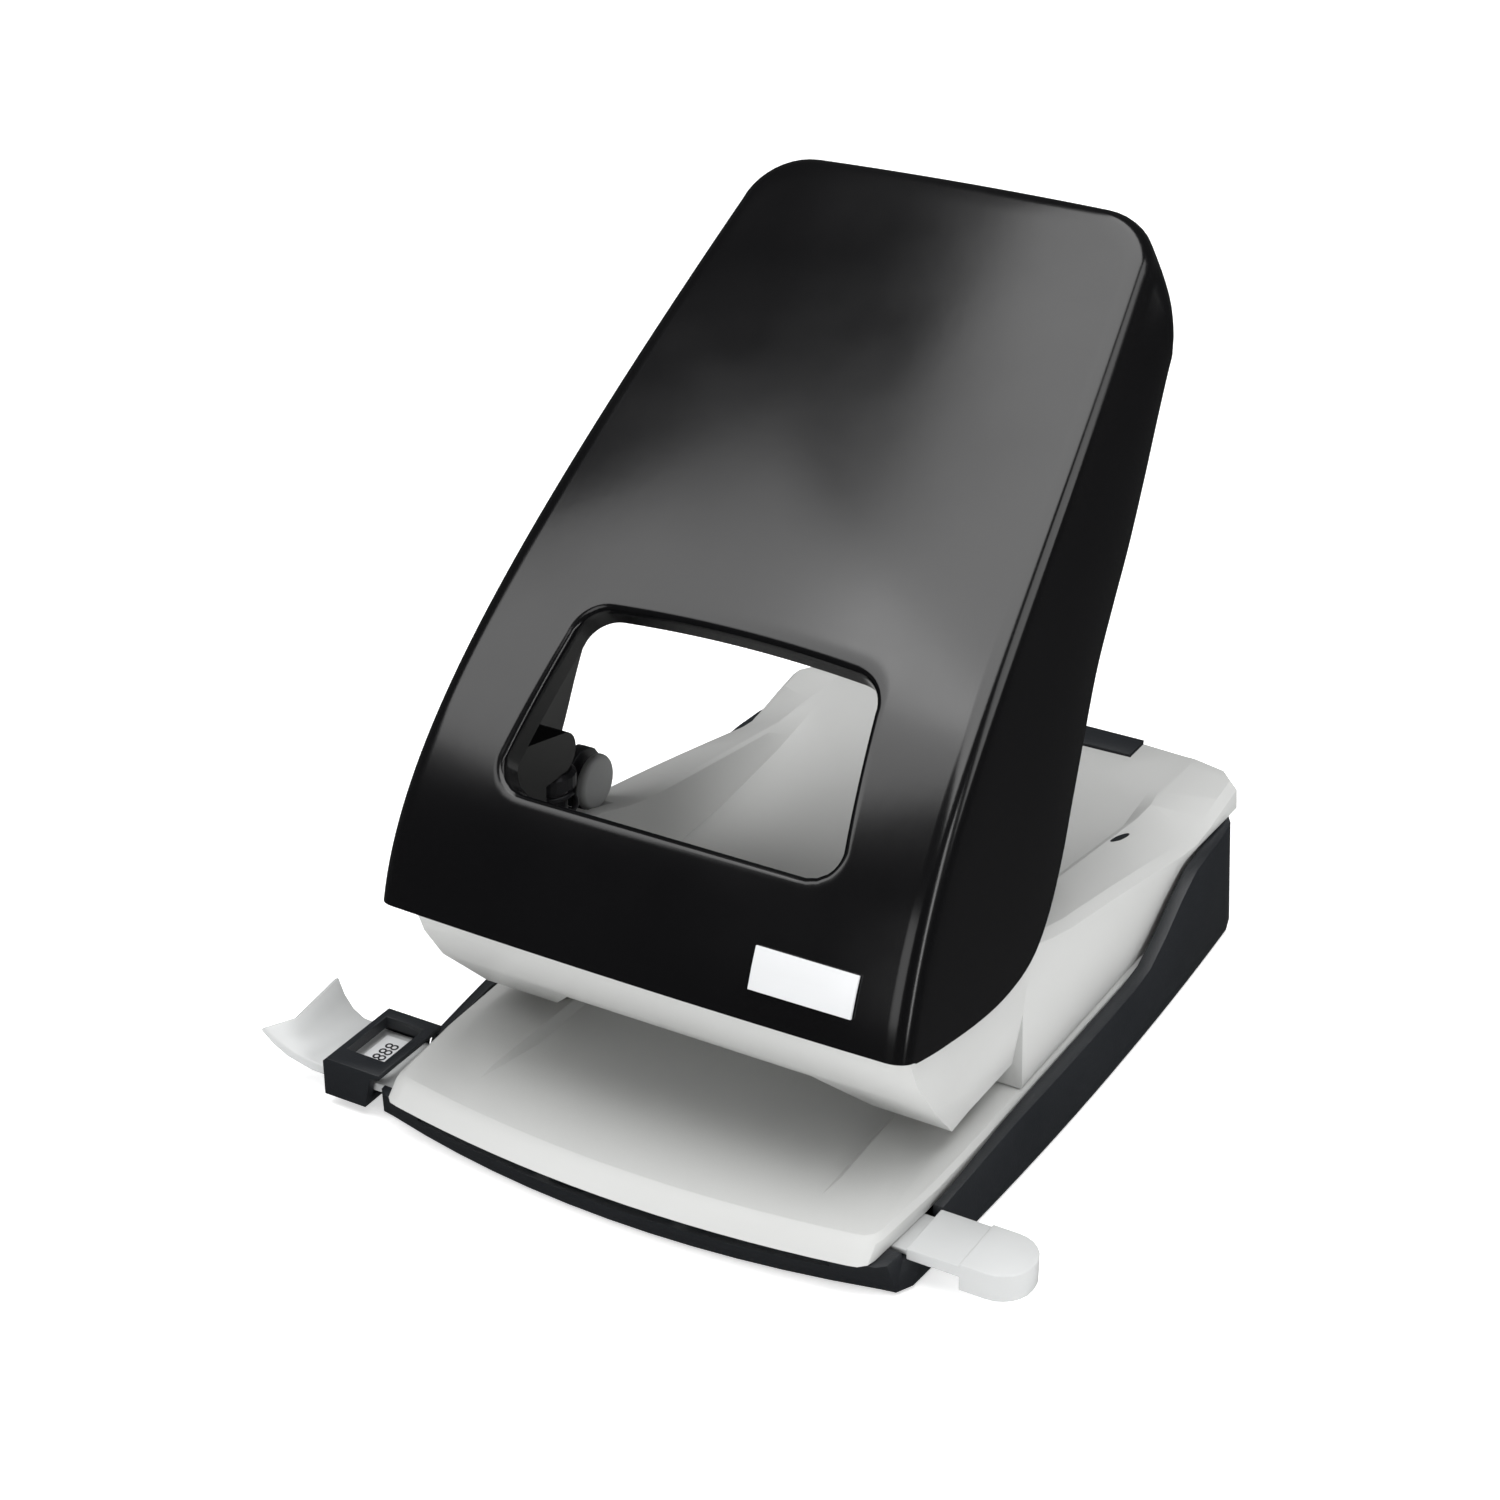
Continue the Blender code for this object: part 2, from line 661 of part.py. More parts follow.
def end_stop():
    """A curved scoop that rises to the rear: the paper's edge rests against its inner face."""
    rings = []
    low = BAR_BOTTOM_Z - 0.1
    start = BAR_LEFT_X - GAP
    for t in (0.0, 0.1, 0.28, 0.55, 1.0):
        y = mix(BAR_FRONT_Y - 0.6, BAR_REAR_Y + 0.6, t)
        tip_x = mix(-79.2, -75.2, min(t / 0.28, 1.0)) + mix(0.0, 0.9, t)
        tip_z = mix(STOP_TOP_FRONT_Z, STOP_TOP_REAR_Z, t)
        foot = -STOP_DISTANCE
        rings.append(
            [
                (start, y, low),
                (foot, y, low + 0.1),
                (mix(foot, tip_x, 0.5), y, mix(low, tip_z, 0.22)),
                (mix(foot, tip_x, 0.8), y, mix(low, tip_z, 0.5)),
                (tip_x - 0.6, y, tip_z - 0.7),
                (tip_x + 0.3, y, tip_z),
                (mix(foot, tip_x, 0.72), y, mix(BAR_TOP_Z, tip_z, 0.55)),
                (mix(foot, tip_x, 0.4), y, mix(BAR_TOP_Z, tip_z, 0.22)),
                (foot, y, BAR_TOP_Z + 0.3),
                (start, y, BAR_TOP_Z + 0.1),
            ]
        )
    return loft("end_stop", rings)


finish(end_stop(), "grey_plastic", guide_axis, guide_axis["place"], 50.0)

label_x = (WINDOW_OPENING_LEFT_X + WINDOW_OPENING_RIGHT_X) * 0.5
label_y = (WINDOW_OPENING_FRONT_Y + WINDOW_OPENING_REAR_Y) * 0.5
label = block(
    "format_label",
    (label_x - LABEL_WIDE * 0.5, label_y - LABEL_LONG * 0.5, BAR_TOP_Z + GAP),
    (label_x + LABEL_WIDE * 0.5, label_y + LABEL_LONG * 0.5, BAR_TOP_Z + GAP + LABEL_THICK),
)
finish(label, "label", guide_axis, guide_axis["place"])


def release_tab():
    """A tongue that is pushed in to free the guide bar, thin at the tray and thick at its round end."""
    middle = (RELEASE_FRONT_Y + RELEASE_REAR_Y) * 0.5
    half = (RELEASE_REAR_Y - RELEASE_FRONT_Y) * 0.5
    corner = 6.0
    tip = [
        *arc((RELEASE_TIP_X - corner, RELEASE_FRONT_Y + corner), corner, -90.0, 0.0, 6),
        *arc((RELEASE_TIP_X - corner, RELEASE_REAR_Y - corner), corner, 0.0, 90.0, 6),
    ]
    blade = prism(
        "release_tab",
        [(RELEASE_STEP_X, middle - half), *tip, (RELEASE_STEP_X, middle + half)],
        "Z",
        RELEASE_UNDER_Z,
        RELEASE_TOP_Z,
    )
    pad = prism(
        "pad",
        [(RELEASE_PAD_X, middle - half), *tip, (RELEASE_PAD_X, middle + half)],
        "Z",
        RELEASE_PAD_UNDER_Z,
        RELEASE_TOP_Z + 0.5,
    )
    shank = block(
        "shank",
        (RELEASE_INNER_X, RELEASE_FRONT_Y + 1.0, TAB_SLOT_FLOOR_Z + GAP),
        (RELEASE_STEP_X + 2.0, RELEASE_REAR_Y - 1.0, RELEASE_SHANK_TOP_Z),
    )
    join(blade, pad, shank)
    return blade


tab_axis = axis_empty("release_slide", (RELEASE_INNER_X, (RELEASE_FRONT_Y + RELEASE_REAR_Y) * 0.5, RELEASE_UNDER_Z))
finish(release_tab(), "grey_plastic", tab_axis, tab_axis["place"])

# ---------------------------------------------------------------- base plate

machine_axis = axis_empty("machine_hinge", (0.0, HINGE_Y, HINGE_Z))


def plate_front(x, lean):
    bow = PLATE_FRONT_BOW * (x / TRAY_FRONT_HALF) ** 2
    return PLATE_FRONT_CENTRE_Y + bow + lean


def plate_ring(z, inset, lean):
    """The plate's outline at one height, bowed at the front and narrower there."""
    found = []
    steps = 8
    edge = lower_half(TRAY_FRONT_Y + PLATE_CORNER) - inset
    for i in range(-steps, steps + 1):
        x = (edge - PLATE_CORNER) * i / steps
        found.append((x, plate_front(x, lean), z))
    centre = (edge - PLATE_CORNER, plate_front(edge - PLATE_CORNER, lean) + PLATE_CORNER)
    right = [(x, y, z) for x, y in arc(centre, PLATE_CORNER, -60.0, 0.0, 2)]
    side = []
    for i in range(1, 9):
        y = mix(centre[1], PLATE_REAR_Y - 8.0, i / 8)
        side.append((lower_half(y) - inset, y, z))
    rear = lower_half(PLATE_REAR_Y) - inset
    back = [(rear - 2.6, PLATE_REAR_Y - 3.4, z), (rear - 5.4, PLATE_REAR_Y - 1.0, z), (rear - 9.0, PLATE_REAR_Y, z)]
    half = right + side + back
    mirrored = [(-x, y, z) for x, y, z in half[::-1]]
    return found + half + mirrored


def base_plate():
    """The flat plate under the paper, with a shallow recess, the two die seats and the hinge lugs."""
    levels = [
        plate_ring(PLATE_BOTTOM_Z, 0.0, 0.0),
        plate_ring(PLATE_TOP_Z - PLATE_EDGE, 0.0, PLATE_NOSE_SLOPE * 0.7),
        plate_ring(PLATE_TOP_Z, PLATE_EDGE, PLATE_NOSE_SLOPE + PLATE_EDGE * 0.5),
    ]
    plate = loft("base_plate", levels)
    lugs = []
    for side in (-1.0, 1.0):
        low, high = sorted((side * HINGE_LUG_INNER_X, side * HINGE_LUG_OUTER_X))
        outline = [
            (HINGE_Y + HINGE_LUG_RADIUS, PLATE_BOTTOM_Z + 0.8),
            (HINGE_Y - HINGE_LUG_RADIUS, PLATE_BOTTOM_Z + 0.8),
            *arc((HINGE_Y, HINGE_Z), HINGE_LUG_RADIUS, 180.0, 360.0, 8),
        ]
        lug = prism("lug", outline, "X", low, high)
        cut(lug, disc("bore", (HINGE_Y, HINGE_Z), HINGE_PIN_RADIUS + GAP * 0.5, "X", low - 1, high + 1, 12))
        lugs.append(lug)
    join(plate, *lugs)
    recess = loft(
        "recess",
        [
            [
                (-RECESS_HALF_FRONT, RECESS_FRONT_Y, PLATE_TOP_Z + 0.02),
                (-RECESS_HALF_REAR, RECESS_FLAT_Y, PLATE_TOP_Z - RECESS_DEPTH),
                (-RECESS_HALF_REAR, RECESS_REAR_Y - 1.5, PLATE_TOP_Z - RECESS_DEPTH),
                (-RECESS_HALF_REAR - 1.5, RECESS_REAR_Y, PLATE_TOP_Z + 1.0),
                (-RECESS_HALF_FRONT - 1.5, RECESS_FRONT_Y - 1.0, PLATE_TOP_Z + 1.0),
            ],
            [
                (RECESS_HALF_FRONT, RECESS_FRONT_Y, PLATE_TOP_Z + 0.02),
                (RECESS_HALF_REAR, RECESS_FLAT_Y, PLATE_TOP_Z - RECESS_DEPTH),
                (RECESS_HALF_REAR, RECESS_REAR_Y - 1.5, PLATE_TOP_Z - RECESS_DEPTH),
                (RECESS_HALF_REAR + 1.5, RECESS_REAR_Y, PLATE_TOP_Z + 1.0),
                (RECESS_HALF_FRONT + 1.5, RECESS_FRONT_Y - 1.0, PLATE_TOP_Z + 1.0),
            ],
        ],
    )
    cut(plate, recess)
    for side in (-1.0, 1.0):
        centre = (side * HOLE_SPACING * 0.5, PUNCH_Y)
        cut(plate, disc("seat", centre, DIE_RADIUS + GAP, "Z", 0.0, 20.0))
        for y in (SCREW_FRONT_Y, SCREW_REAR_Y):
            spot = (side * SCREW_X, y)
            cut(plate, disc("through", spot, SCREW_RADIUS + GAP, "Z", 0.0, 20.0, STEPS_SMALL))
            sunk = PLATE_BOTTOM_Z + SCREW_HEAD_THICK + GAP
            cut(plate, disc("sunk", spot, SCREW_HEAD_RADIUS + GAP, "Z", 0.0, sunk, STEPS_SMALL))
    return plate


finish(base_plate(), "grey_paint", machine_axis, machine_axis["place"])

for side_name, side in (("left", -1.0), ("right", 1.0)):
    bore = HOLE_DIAMETER * 0.5 + GAP
    die = turned(
        f"die_{side_name}",
        [
            (bore, PLATE_TOP_Z - 0.1 - DIE_HEIGHT),
            (DIE_RADIUS, PLATE_TOP_Z - 0.1 - DIE_HEIGHT),
            (DIE_RADIUS, PLATE_TOP_Z - 0.1),
            (bore, PLATE_TOP_Z - 0.1),
        ],
        side * HOLE_SPACING * 0.5,
        PUNCH_Y,
    )
    finish(die, "steel", machine_axis, machine_axis["place"])

# ---------------------------------------------------------------- punch frame


def rail_outer(y):
    """Height of the frame's outer shoulder, which dips where the tray's rim rises and comes up again."""
    down = mix(FRAME_TOP_Z, 36.9, blend(8.0, 40.0, y))
    slope = mix(down, SHOULDER_DIP_Z, min(max((y - 26.0) / 70.0, 0.0), 1.0) ** 1.15)
    return slope + (FRAME_DECK_Z - 0.5 - SHOULDER_DIP_Z) * blend(94.0, 122.0, y)


def rail_inner(y):
    down = mix(FRAME_TOP_Z, 37.5, blend(8.0, 42.0, y))
    return mix(down, FRAME_DECK_Z, min(max((y - 26.0) / 66.0, 0.0), 1.0) ** 0.95)


def trough_floor(y):
    rise = mix(TROUGH_FLOOR_Z, 24.2, blend(58.0, 86.0, y))
    return mix(rise, FRAME_DECK_Z - 0.2, min(max((y - 84.0) / 20.0, 0.0), 1.0))


def frame_ring(y, end=False):
    """The frame's cross-section: side walls, sloping rails and the trough between them."""
    low = min(FRAME_HALF, lower_half(y))
    outer = rail_outer(y)
    inner = rail_inner(y)
    floor = trough_floor(y) if y > TROUGH_FRONT_Y else FRAME_TOP_Z - 0.2
    floor = min(floor, inner - 0.1)
    step = max(rim_height(y) + 0.4, FRAME_BOTTOM_Z + 0.6)
    wide = FRAME_HALF + 0.5 * blend(90.0, 118.0, y)
    upper = wide - FRAME_DRAFT * max(outer - LIP_STEP_Z, 0.0)
    if end:
        upper -= 2.4
        wide -= 2.4
        low -= 2.4
    half = [
        (low - 0.2, FRAME_BOTTOM_Z),
        (low - 0.2, step),
        (wide, step + 0.1),
        (upper, outer - 1.6),
        (upper - 1.6, outer),
        (RAIL_INNER_X + 1.0, inner),
        (RAIL_INNER_X, inner - 0.4 * min(inner - floor, 1.0)),
        (RAIL_FOOT_X, floor + 0.02),
        (TROUGH_CREASE_X, floor - TROUGH_CREASE_DROP * 0.5),
    ]
    ring = []
    for x, z in half:
        back = -FRAME_REAR_BOW * (x / FRAME_HALF) ** 2 if end else 0.0
        ring.append((x, y + back, z))
    centre = (0.0, y, floor - TROUGH_CREASE_DROP)
    mirrored = [(-x, b, z) for x, b, z in ring[::-1]]
    return ring + [centre] + mirrored


def punch_frame():
    """The cast frame: two punch columns over the mouth, two rails, a trough and a flat rear deck."""
    stations = [-30.0, 2.0, 10.0, 15.9, 16.1, 24.0, 32.0, 40.0, 48.0, 56.0, 64.0, 72.0, 80.0]
    stations += [86.0, 92.0, 98.0, 104.0, 110.0, 116.5]
    rings = [frame_ring(y) for y in stations]
    rings.append(frame_ring(FRAME_REAR_Y, end=True))
    frame = loft("punch_frame", rings)
    front = prism(
        "front",
        [
            (-60.0, -5.0),
            (THROAT_REAR_Y, -5.0),
            (THROAT_REAR_Y, THROAT_TOP_Z),
            (THROAT_MOUTH_Y, THROAT_TOP_Z),
            (FOOT_TIP_Y, FOOT_TIP_Z),
            (-13.6, 25.2),
            (-19.2, 33.3),
            (-21.9, 39.6),
            (-22.2, 60.0),
            (-60.0, 60.0),
        ],
        "X",
        -70.0,
        70.0,
    )
    notch = prism(
        "notch",
        [
            (-NOTCH_FOOT_X, 12.0),
            (NOTCH_FOOT_X, 12.0),
            (NOTCH_FOOT_X, FOOT_TIP_Z - 0.2),
            (NOTCH_LIP_X, NOTCH_LIP_Z),
            (-NOTCH_LIP_X, NOTCH_LIP_Z),
            (-NOTCH_FOOT_X, FOOT_TIP_Z - 0.2),
        ],
        "Y",
        -40.0,
        NOTCH_REAR_Y,
    )
    cavity = block(
        "cavity",
        (-CAVITY_HALF, CAVITY_FRONT_Y, 0.0),
        (CAVITY_HALF, CAVITY_REAR_Y, CAVITY_TOP_Z),
    )
    wide = lower_half(LIP_STEP_Y)
    corner = [(70.0, LIP_STEP_Y - 9.5), (wide + 2.0, LIP_STEP_Y - 9.5), (wide - 0.4, LIP_STEP_Y - 7.8)]
    corner += [(wide - 2.6, LIP_STEP_Y - 3.6), (wide - 5.2, LIP_STEP_Y - 1.2), (wide - 9.0, LIP_STEP_Y)]
    around = corner + [(-x, y) for x, y in corner[::-1]] + [(-70.0, 140.0), (70.0, 140.0)]
    lip = prism("lip", around, "Z", 0.0, LIP_STEP_Z)
    tab_room = block(
        "tab_room",
        (-TAB_HALF - TAB_NOTCH_GAP, TAB_FRONT_Y - TAB_NOTCH_GAP, 10.0),
        (TAB_HALF + TAB_NOTCH_GAP, 140.0, 40.0),
    )
    cut(frame, front, notch, cavity, lip, tab_room)
    for side in (-1.0, 1.0):
        cheek = prism(
            "cheek",
            [
                (side * FOOT_SIDE_X, 5.0),
                (side * FOOT_SIDE_X, FOOT_TIP_Z),
                (side * (FRAME_HALF + 0.1), FOOT_SIDE_TOP_Z),
                (side * 60.0, FOOT_SIDE_TOP_Z),
                (side * 60.0, 5.0),
            ],
            "Y",
            -40.0,
            THROAT_REAR_Y,
        )
        cut(frame, cheek)
    for side in (-1.0, 1.0):
        low, high = sorted((side * EAR_INNER_X, side * EAR_OUTER_X))
        outline = [
            (AXLE_Y + EAR_RADIUS, EAR_ROOT_Z),
            *arc((AXLE_Y, AXLE_Z), EAR_RADIUS, 0.0, 180.0, 10),
            (AXLE_Y - 1.5, EAR_ROOT_Z),
        ]
        join(frame, prism("ear", outline, "X", low, high))
    cut(frame, disc("axle_bore", (AXLE_Y, AXLE_Z), AXLE_RADIUS + GAP, "X", -60.0, 60.0))
    for side in (-1.0, 1.0):
        centre = (side * HOLE_SPACING * 0.5, PUNCH_Y)
        cut(frame, disc("bush_bore", centre, BUSH_RADIUS + GAP, "Z", 10.0, BUSH_SEAT_Z + 1.0))
        cut(frame, disc("spring_bore", centre, SPRING_BORE_RADIUS, "Z", BUSH_SEAT_Z, 60.0))
        for y in (SCREW_FRONT_Y, SCREW_REAR_Y):
            top = PLATE_BOTTOM_Z + SCREW_LENGTH + 2 * GAP
            spot = (side * SCREW_X, y)
            cut(frame, disc("thread", spot, SCREW_RADIUS + GAP, "Z", 5.0, top, STEPS_SMALL))
    lock_slot = block(
        "lock_slot",
        (LOCK_PLATE_OUTER_X - GAP, LOCK_Y - LOCK_PLATE_HALF - 2 * GAP, LOCK_PLATE_ROOT_Z - GAP),
        (LOCK_PLATE_INNER_X + GAP, LOCK_Y + LOCK_PLATE_HALF + 2 * GAP, 60.0),
    )
    lock_room = disc(
        "lock_room",
        (LOCK_Y, LOCK_Z),
        LOCK_PLATE_RADIUS + GAP,
        "X",
        -54.0,
        LOCK_DISC_INNER_X + 1.0,
    )
    cut(frame, lock_slot, lock_room)
    return frame


finish(punch_frame(), "grey_paint", machine_axis, machine_axis["place"])

for side_name, side in (("left", -1.0), ("right", 1.0)):
    bore = HOLE_DIAMETER * 0.5 + GAP
    seat = BUSH_SEAT_Z + GAP
    bush = turned(
        f"punch_bush_{side_name}",
        [
            (bore, THROAT_TOP_Z + GAP),
            (BUSH_RADIUS, THROAT_TOP_Z + GAP),
            (BUSH_RADIUS, seat),
            (BUSH_FLANGE_RADIUS, seat),
            (BUSH_FLANGE_RADIUS, seat + BUSH_FLANGE_THICK),
            (bore, seat + BUSH_FLANGE_THICK),
        ],
        side * HOLE_SPACING * 0.5,
        PUNCH_Y,
    )
    finish(bush, "brass", machine_axis, machine_axis["place"])
    for end_name, screw_y in (("front", SCREW_FRONT_Y), ("rear", SCREW_REAR_Y)):
        screw = turned_solid(
            f"frame_screw_{end_name}_{side_name}",
            [
                (SCREW_HEAD_RADIUS, PLATE_BOTTOM_Z),
                (SCREW_HEAD_RADIUS, PLATE_BOTTOM_Z + SCREW_HEAD_THICK),
                (SCREW_RADIUS, PLATE_BOTTOM_Z + SCREW_HEAD_THICK),
                (SCREW_RADIUS, PLATE_BOTTOM_Z + SCREW_LENGTH),
            ],
            side * SCREW_X,
            screw_y,
            STEPS_SMALL,
        )
        finish(screw, "steel", machine_axis, machine_axis["place"])

axle = disc("handle_axle", (AXLE_Y, AXLE_Z), AXLE_RADIUS, "X", -AXLE_HALF, AXLE_HALF)
finish(axle, "steel", machine_axis, machine_axis["place"])


def lock_plate():
    """The black plate on the left rail that carries the lock button."""
    outline = [
        (LOCK_Y - LOCK_PLATE_HALF, LOCK_PLATE_ROOT_Z),
        (LOCK_Y + LOCK_PLATE_HALF, LOCK_PLATE_ROOT_Z),
        *arc((LOCK_Y, LOCK_Z), LOCK_PLATE_RADIUS, -52.0, 232.0, 14),
    ]
    plate = prism("lock_plate", outline, "X", LOCK_PLATE_OUTER_X, LOCK_PLATE_INNER_X)
    cut(plate, disc("bore", (LOCK_Y, LOCK_Z), LOCK_SPINDLE_RADIUS + GAP, "X", -60.0, -40.0, STEPS_SMALL))
    return plate


finish(lock_plate(), "black_plastic", machine_axis, machine_axis["place"])

lock_axis = axis_empty("lock_slide", (LOCK_DISC_INNER_X, LOCK_Y, LOCK_Z), machine_axis)


def lock_button():
    """A grey disc on a short spindle."""
    rings = []
    for x, radius in (
        (LOCK_DISC_INNER_X, LOCK_DISC_RADIUS - 0.6),
        (LOCK_DISC_INNER_X - 0.6, LOCK_DISC_RADIUS),
        (LOCK_DISC_OUTER_X, LOCK_DISC_RADIUS),
        (LOCK_DISC_OUTER_X, LOCK_SPINDLE_RADIUS),
        (LOCK_SPINDLE_TIP_X, LOCK_SPINDLE_RADIUS),
    ):
        ring = arc((LOCK_Y, LOCK_Z), radius, 0.0, 360.0, STEPS_ROUND)[:-1]
        rings.append([(x, y, z) for y, z in ring])
    return loft("lock_button", rings)


finish(lock_button(), "grey_plastic", lock_axis, lock_axis["place"])

# ---------------------------------------------------------------- lever handle

handle_axis = axis_empty("handle_pivot", (0.0, AXLE_Y, AXLE_Z), machine_axis)


def face_curve():
    """The handle's side profile, steep at the mouth and easing towards the tip, one point per millimetre."""
    found = []
    y = FACE_START_Y
    z = FACE_START_Z
    for step in range(int(FACE_LENGTH) + 6):
        fall = math.exp(-((step / FACE_SLOPE_LENGTH) ** FACE_SLOPE_POWER))
        slope = math.radians(FACE_SLOPE_TIP + FACE_SLOPE_FALL * fall)
        found.append((y, z, slope))
        y += math.cos(slope)
        z += math.sin(slope)
    return found


FACE = face_curve()


def face_at(s):
    """(y, z, slope) of the profile at the distance s from its lower edge."""
    place = min(max(s, 0.0), len(FACE) - 1.001)
    index = int(place)
    share = place - index
    here = FACE[index]
    there = FACE[index + 1]
    return tuple(mix(a, b, share) for a, b in zip(here, there))


def handle_half(z):
    rise = z - HANDLE_TAPER_Z
    return HANDLE_HALF - HANDLE_TAPER * rise - HANDLE_TAPER_CURVE * rise * rise


def on_face(s, x, depth):
    """A point of the handle's face: s up the profile, x across, depth below the outer surface."""
    y, z, slope = face_at(s)
    wide = handle_half(z)
    crown = HANDLE_CROWN * (1.0 - min(abs(x) / wide, 1.0) ** 2)
    out = crown - depth
    return (x, y - math.sin(slope) * out, z + math.cos(slope) * out)


def flange_edge(t):
    """The side flange's free edge in (y, z): a belly under the pivot and a long straight rear edge."""
    spots = [
        (-28.2, 42.9),
        (-16.7, 40.3),
        (-2.0, 37.6),
        (9.0, 37.0),
        (18.0, 38.9),
        (24.0, 44.4),
        (29.2, 53.2),
        (33.4, 62.6),
        (38.6, 73.0),
        (44.4, 83.2),
        (51.6, 92.2),
        (58.4, 100.2),
        (65.6, 109.6),
        (73.0, 119.6),
        (79.6, 128.0),
    ]
    place = t * (len(spots) - 1)
    index = min(int(place), len(spots) - 2)
    u = place - index
    before = spots[max(index - 1, 0)]
    here = spots[index]
    there = spots[index + 1]
    after = spots[min(index + 2, len(spots) - 1)]
    found = []
    for a, b, c, d in zip(before, here, there, after):
        slope_b = (c - a) * 0.5
        slope_c = (d - b) * 0.5
        square = u * u
        cube = square * u
        value = (2 * cube - 3 * square + 1) * b + (cube - 2 * square + u) * slope_b
        value += (3 * square - 2 * cube) * c + (cube - square) * slope_c
        found.append(value)
    return tuple(found)


HANDLE_ROWS = 17
HANDLE_COLUMNS = 8
HANDLE_ROUND_STEPS = 3
HANDLE_CORNER_STEPS = 4


def handle_rows():
    """(s, half-width of the flat face, outward direction) for each row up to the tip."""
    straight_end = FACE_LENGTH - HANDLE_TIP_CORNER
    rows = []
    for i in range(HANDLE_ROWS):
        s = straight_end * i / (HANDLE_ROWS - 1)
        half = handle_half(face_at(s)[1]) - HANDLE_EDGE_ROUND
        rows.append((s, half, (0.0, 1.0)))
    corner = HANDLE_TIP_CORNER - HANDLE_EDGE_ROUND
    centre = rows[-1][1] - corner
    for i in range(1, HANDLE_CORNER_STEPS + 1):
        turn = math.radians(90.0 * i / HANDLE_CORNER_STEPS)
        s = straight_end + corner * math.sin(turn)
        rows.append((s, centre + corner * math.cos(turn), (math.sin(turn), math.cos(turn))))
    return rows


def handle_surface(inside):
    """The face grid and the edge rings of the outer surface, or of the inner one, which is a sheet deeper."""
    sheet = HANDLE_SHEET if inside else 0.0
    edge_round = HANDLE_EDGE_ROUND - sheet
    rows = handle_rows()
    grid = []
    for s, half, _ in rows:
        across = [half * (2.0 * j / HANDLE_COLUMNS - 1.0) for j in range(HANDLE_COLUMNS + 1)]
        grid.append([on_face(s, x, sheet) for x in across])
    border = []
    last = len(rows) - 1
    for i, (s, half, out) in enumerate(rows):
        border.append((s, -half, out[0], -out[1], min(i / (HANDLE_ROWS - 1), 1.0), i <= HANDLE_ROWS - 1))
    tip_s, tip_half, _ = rows[last]
    for j in range(1, HANDLE_COLUMNS):
        x = tip_half * (2.0 * j / HANDLE_COLUMNS - 1.0)
        border.append((tip_s, x, 1.0, 0.0, 1.0, False))
    for i in range(last, -1, -1):
        s, half, out = rows[i]
        border.append((s, half, out[0], out[1], min(i / (HANDLE_ROWS - 1), 1.0), i <= HANDLE_ROWS - 1))
    rings = []
    for k in range(1, HANDLE_ROUND_STEPS + 1):
        turn = math.radians(90.0 * k / HANDLE_ROUND_STEPS)
        out = edge_round * math.sin(turn)
        depth = sheet + edge_round * (1.0 - math.cos(turn))
        rings.append([on_face(s + ns * out, x + nx * out, depth) for s, x, ns, nx, _, _ in border])
    edge = []
    for spot, (s, x, ns, nx, t, on_side) in zip(rings[-1], border):
        if on_side:
            y, z = flange_edge(t)
            wide = handle_half(max(z, HANDLE_TAPER_Z)) - sheet
            edge.append((math.copysign(wide, x), y, z))
        else:
            edge.append((spot[0], spot[1] + 1.0, spot[2] - HANDLE_TIP_FLANGE))
    rings.append(edge)
    return grid, rings


def sheet_shell(name, outer, inner):
    """One closed sheet between two surfaces of the same make."""
    points = []
    faces = []

    def add(surface):
        grid, rings = surface
        start = len(points)
        rows = len(grid)
        columns = len(grid[0])
        for row in grid:
            points.extend(row)
        index = [[start + i * columns + j for j in range(columns)] for i in range(rows)]
        for i in range(rows - 1):
            for j in range(columns - 1):
                faces.append((index[i][j], index[i][j + 1], index[i + 1][j + 1], index[i + 1][j]))
        path = [index[i][0] for i in range(rows)]
        path += [index[rows - 1][j] for j in range(1, columns - 1)]
        path += [index[i][columns - 1] for i in range(rows - 1, -1, -1)]
        paths = [path]
        for ring in rings:
            begin = len(points)
            points.extend(ring)
            here = list(range(begin, begin + len(ring)))
            before = paths[-1]
            for j in range(len(ring) - 1):
                faces.append((before[j], before[j + 1], here[j + 1], here[j]))
            paths.append(here)
        bottom = [index[0][j] for j in range(columns)]
        left = [path[0] for path in paths[::-1]]
        right = [path[-1] for path in paths]
        return left + bottom[1:-1] + right + paths[-1][-2:0:-1]

    rim_outer = add(outer)
    rim_inner = add(inner)
    for j in range(len(rim_outer)):
        k = (j + 1) % len(rim_outer)
        faces.append((rim_outer[j], rim_outer[k], rim_inner[k], rim_inner[j]))
    return from_lists(name, points, faces)


def window_outline(grow):
    """The handle window's rounded outline in (s, x), made larger by grow."""
    corner = HANDLE_WINDOW_CORNER + grow
    low = HANDLE_WINDOW_START - grow + corner
    high = HANDLE_WINDOW_END + grow - corner
    wide_low = HANDLE_WINDOW_HALF_LOW + grow - corner
    wide_high = HANDLE_WINDOW_HALF_HIGH + grow - corner
    half = []
    for s, x in arc((low, wide_low), corner, 180.0, 90.0, 4):
        half.append((s, x))
    for s, x in arc((high, wide_high), corner, 90.0, 0.0, 4):
        half.append((s, x))
    for i in (1, 2):
        half.append((HANDLE_WINDOW_END + grow, wide_high * (1.0 - i / 3.0)))
    full = half + [(s, -x) for s, x in half[::-1]]
    found = []
    for s, x in full:
        share = min(max((s - low) / (high - low), 0.0), 1.0)
        rise = HANDLE_WINDOW_CROWN * (1.0 - (x / HANDLE_WINDOW_HALF_HIGH) ** 2) * share
        found.append((s + rise, x))
    return found


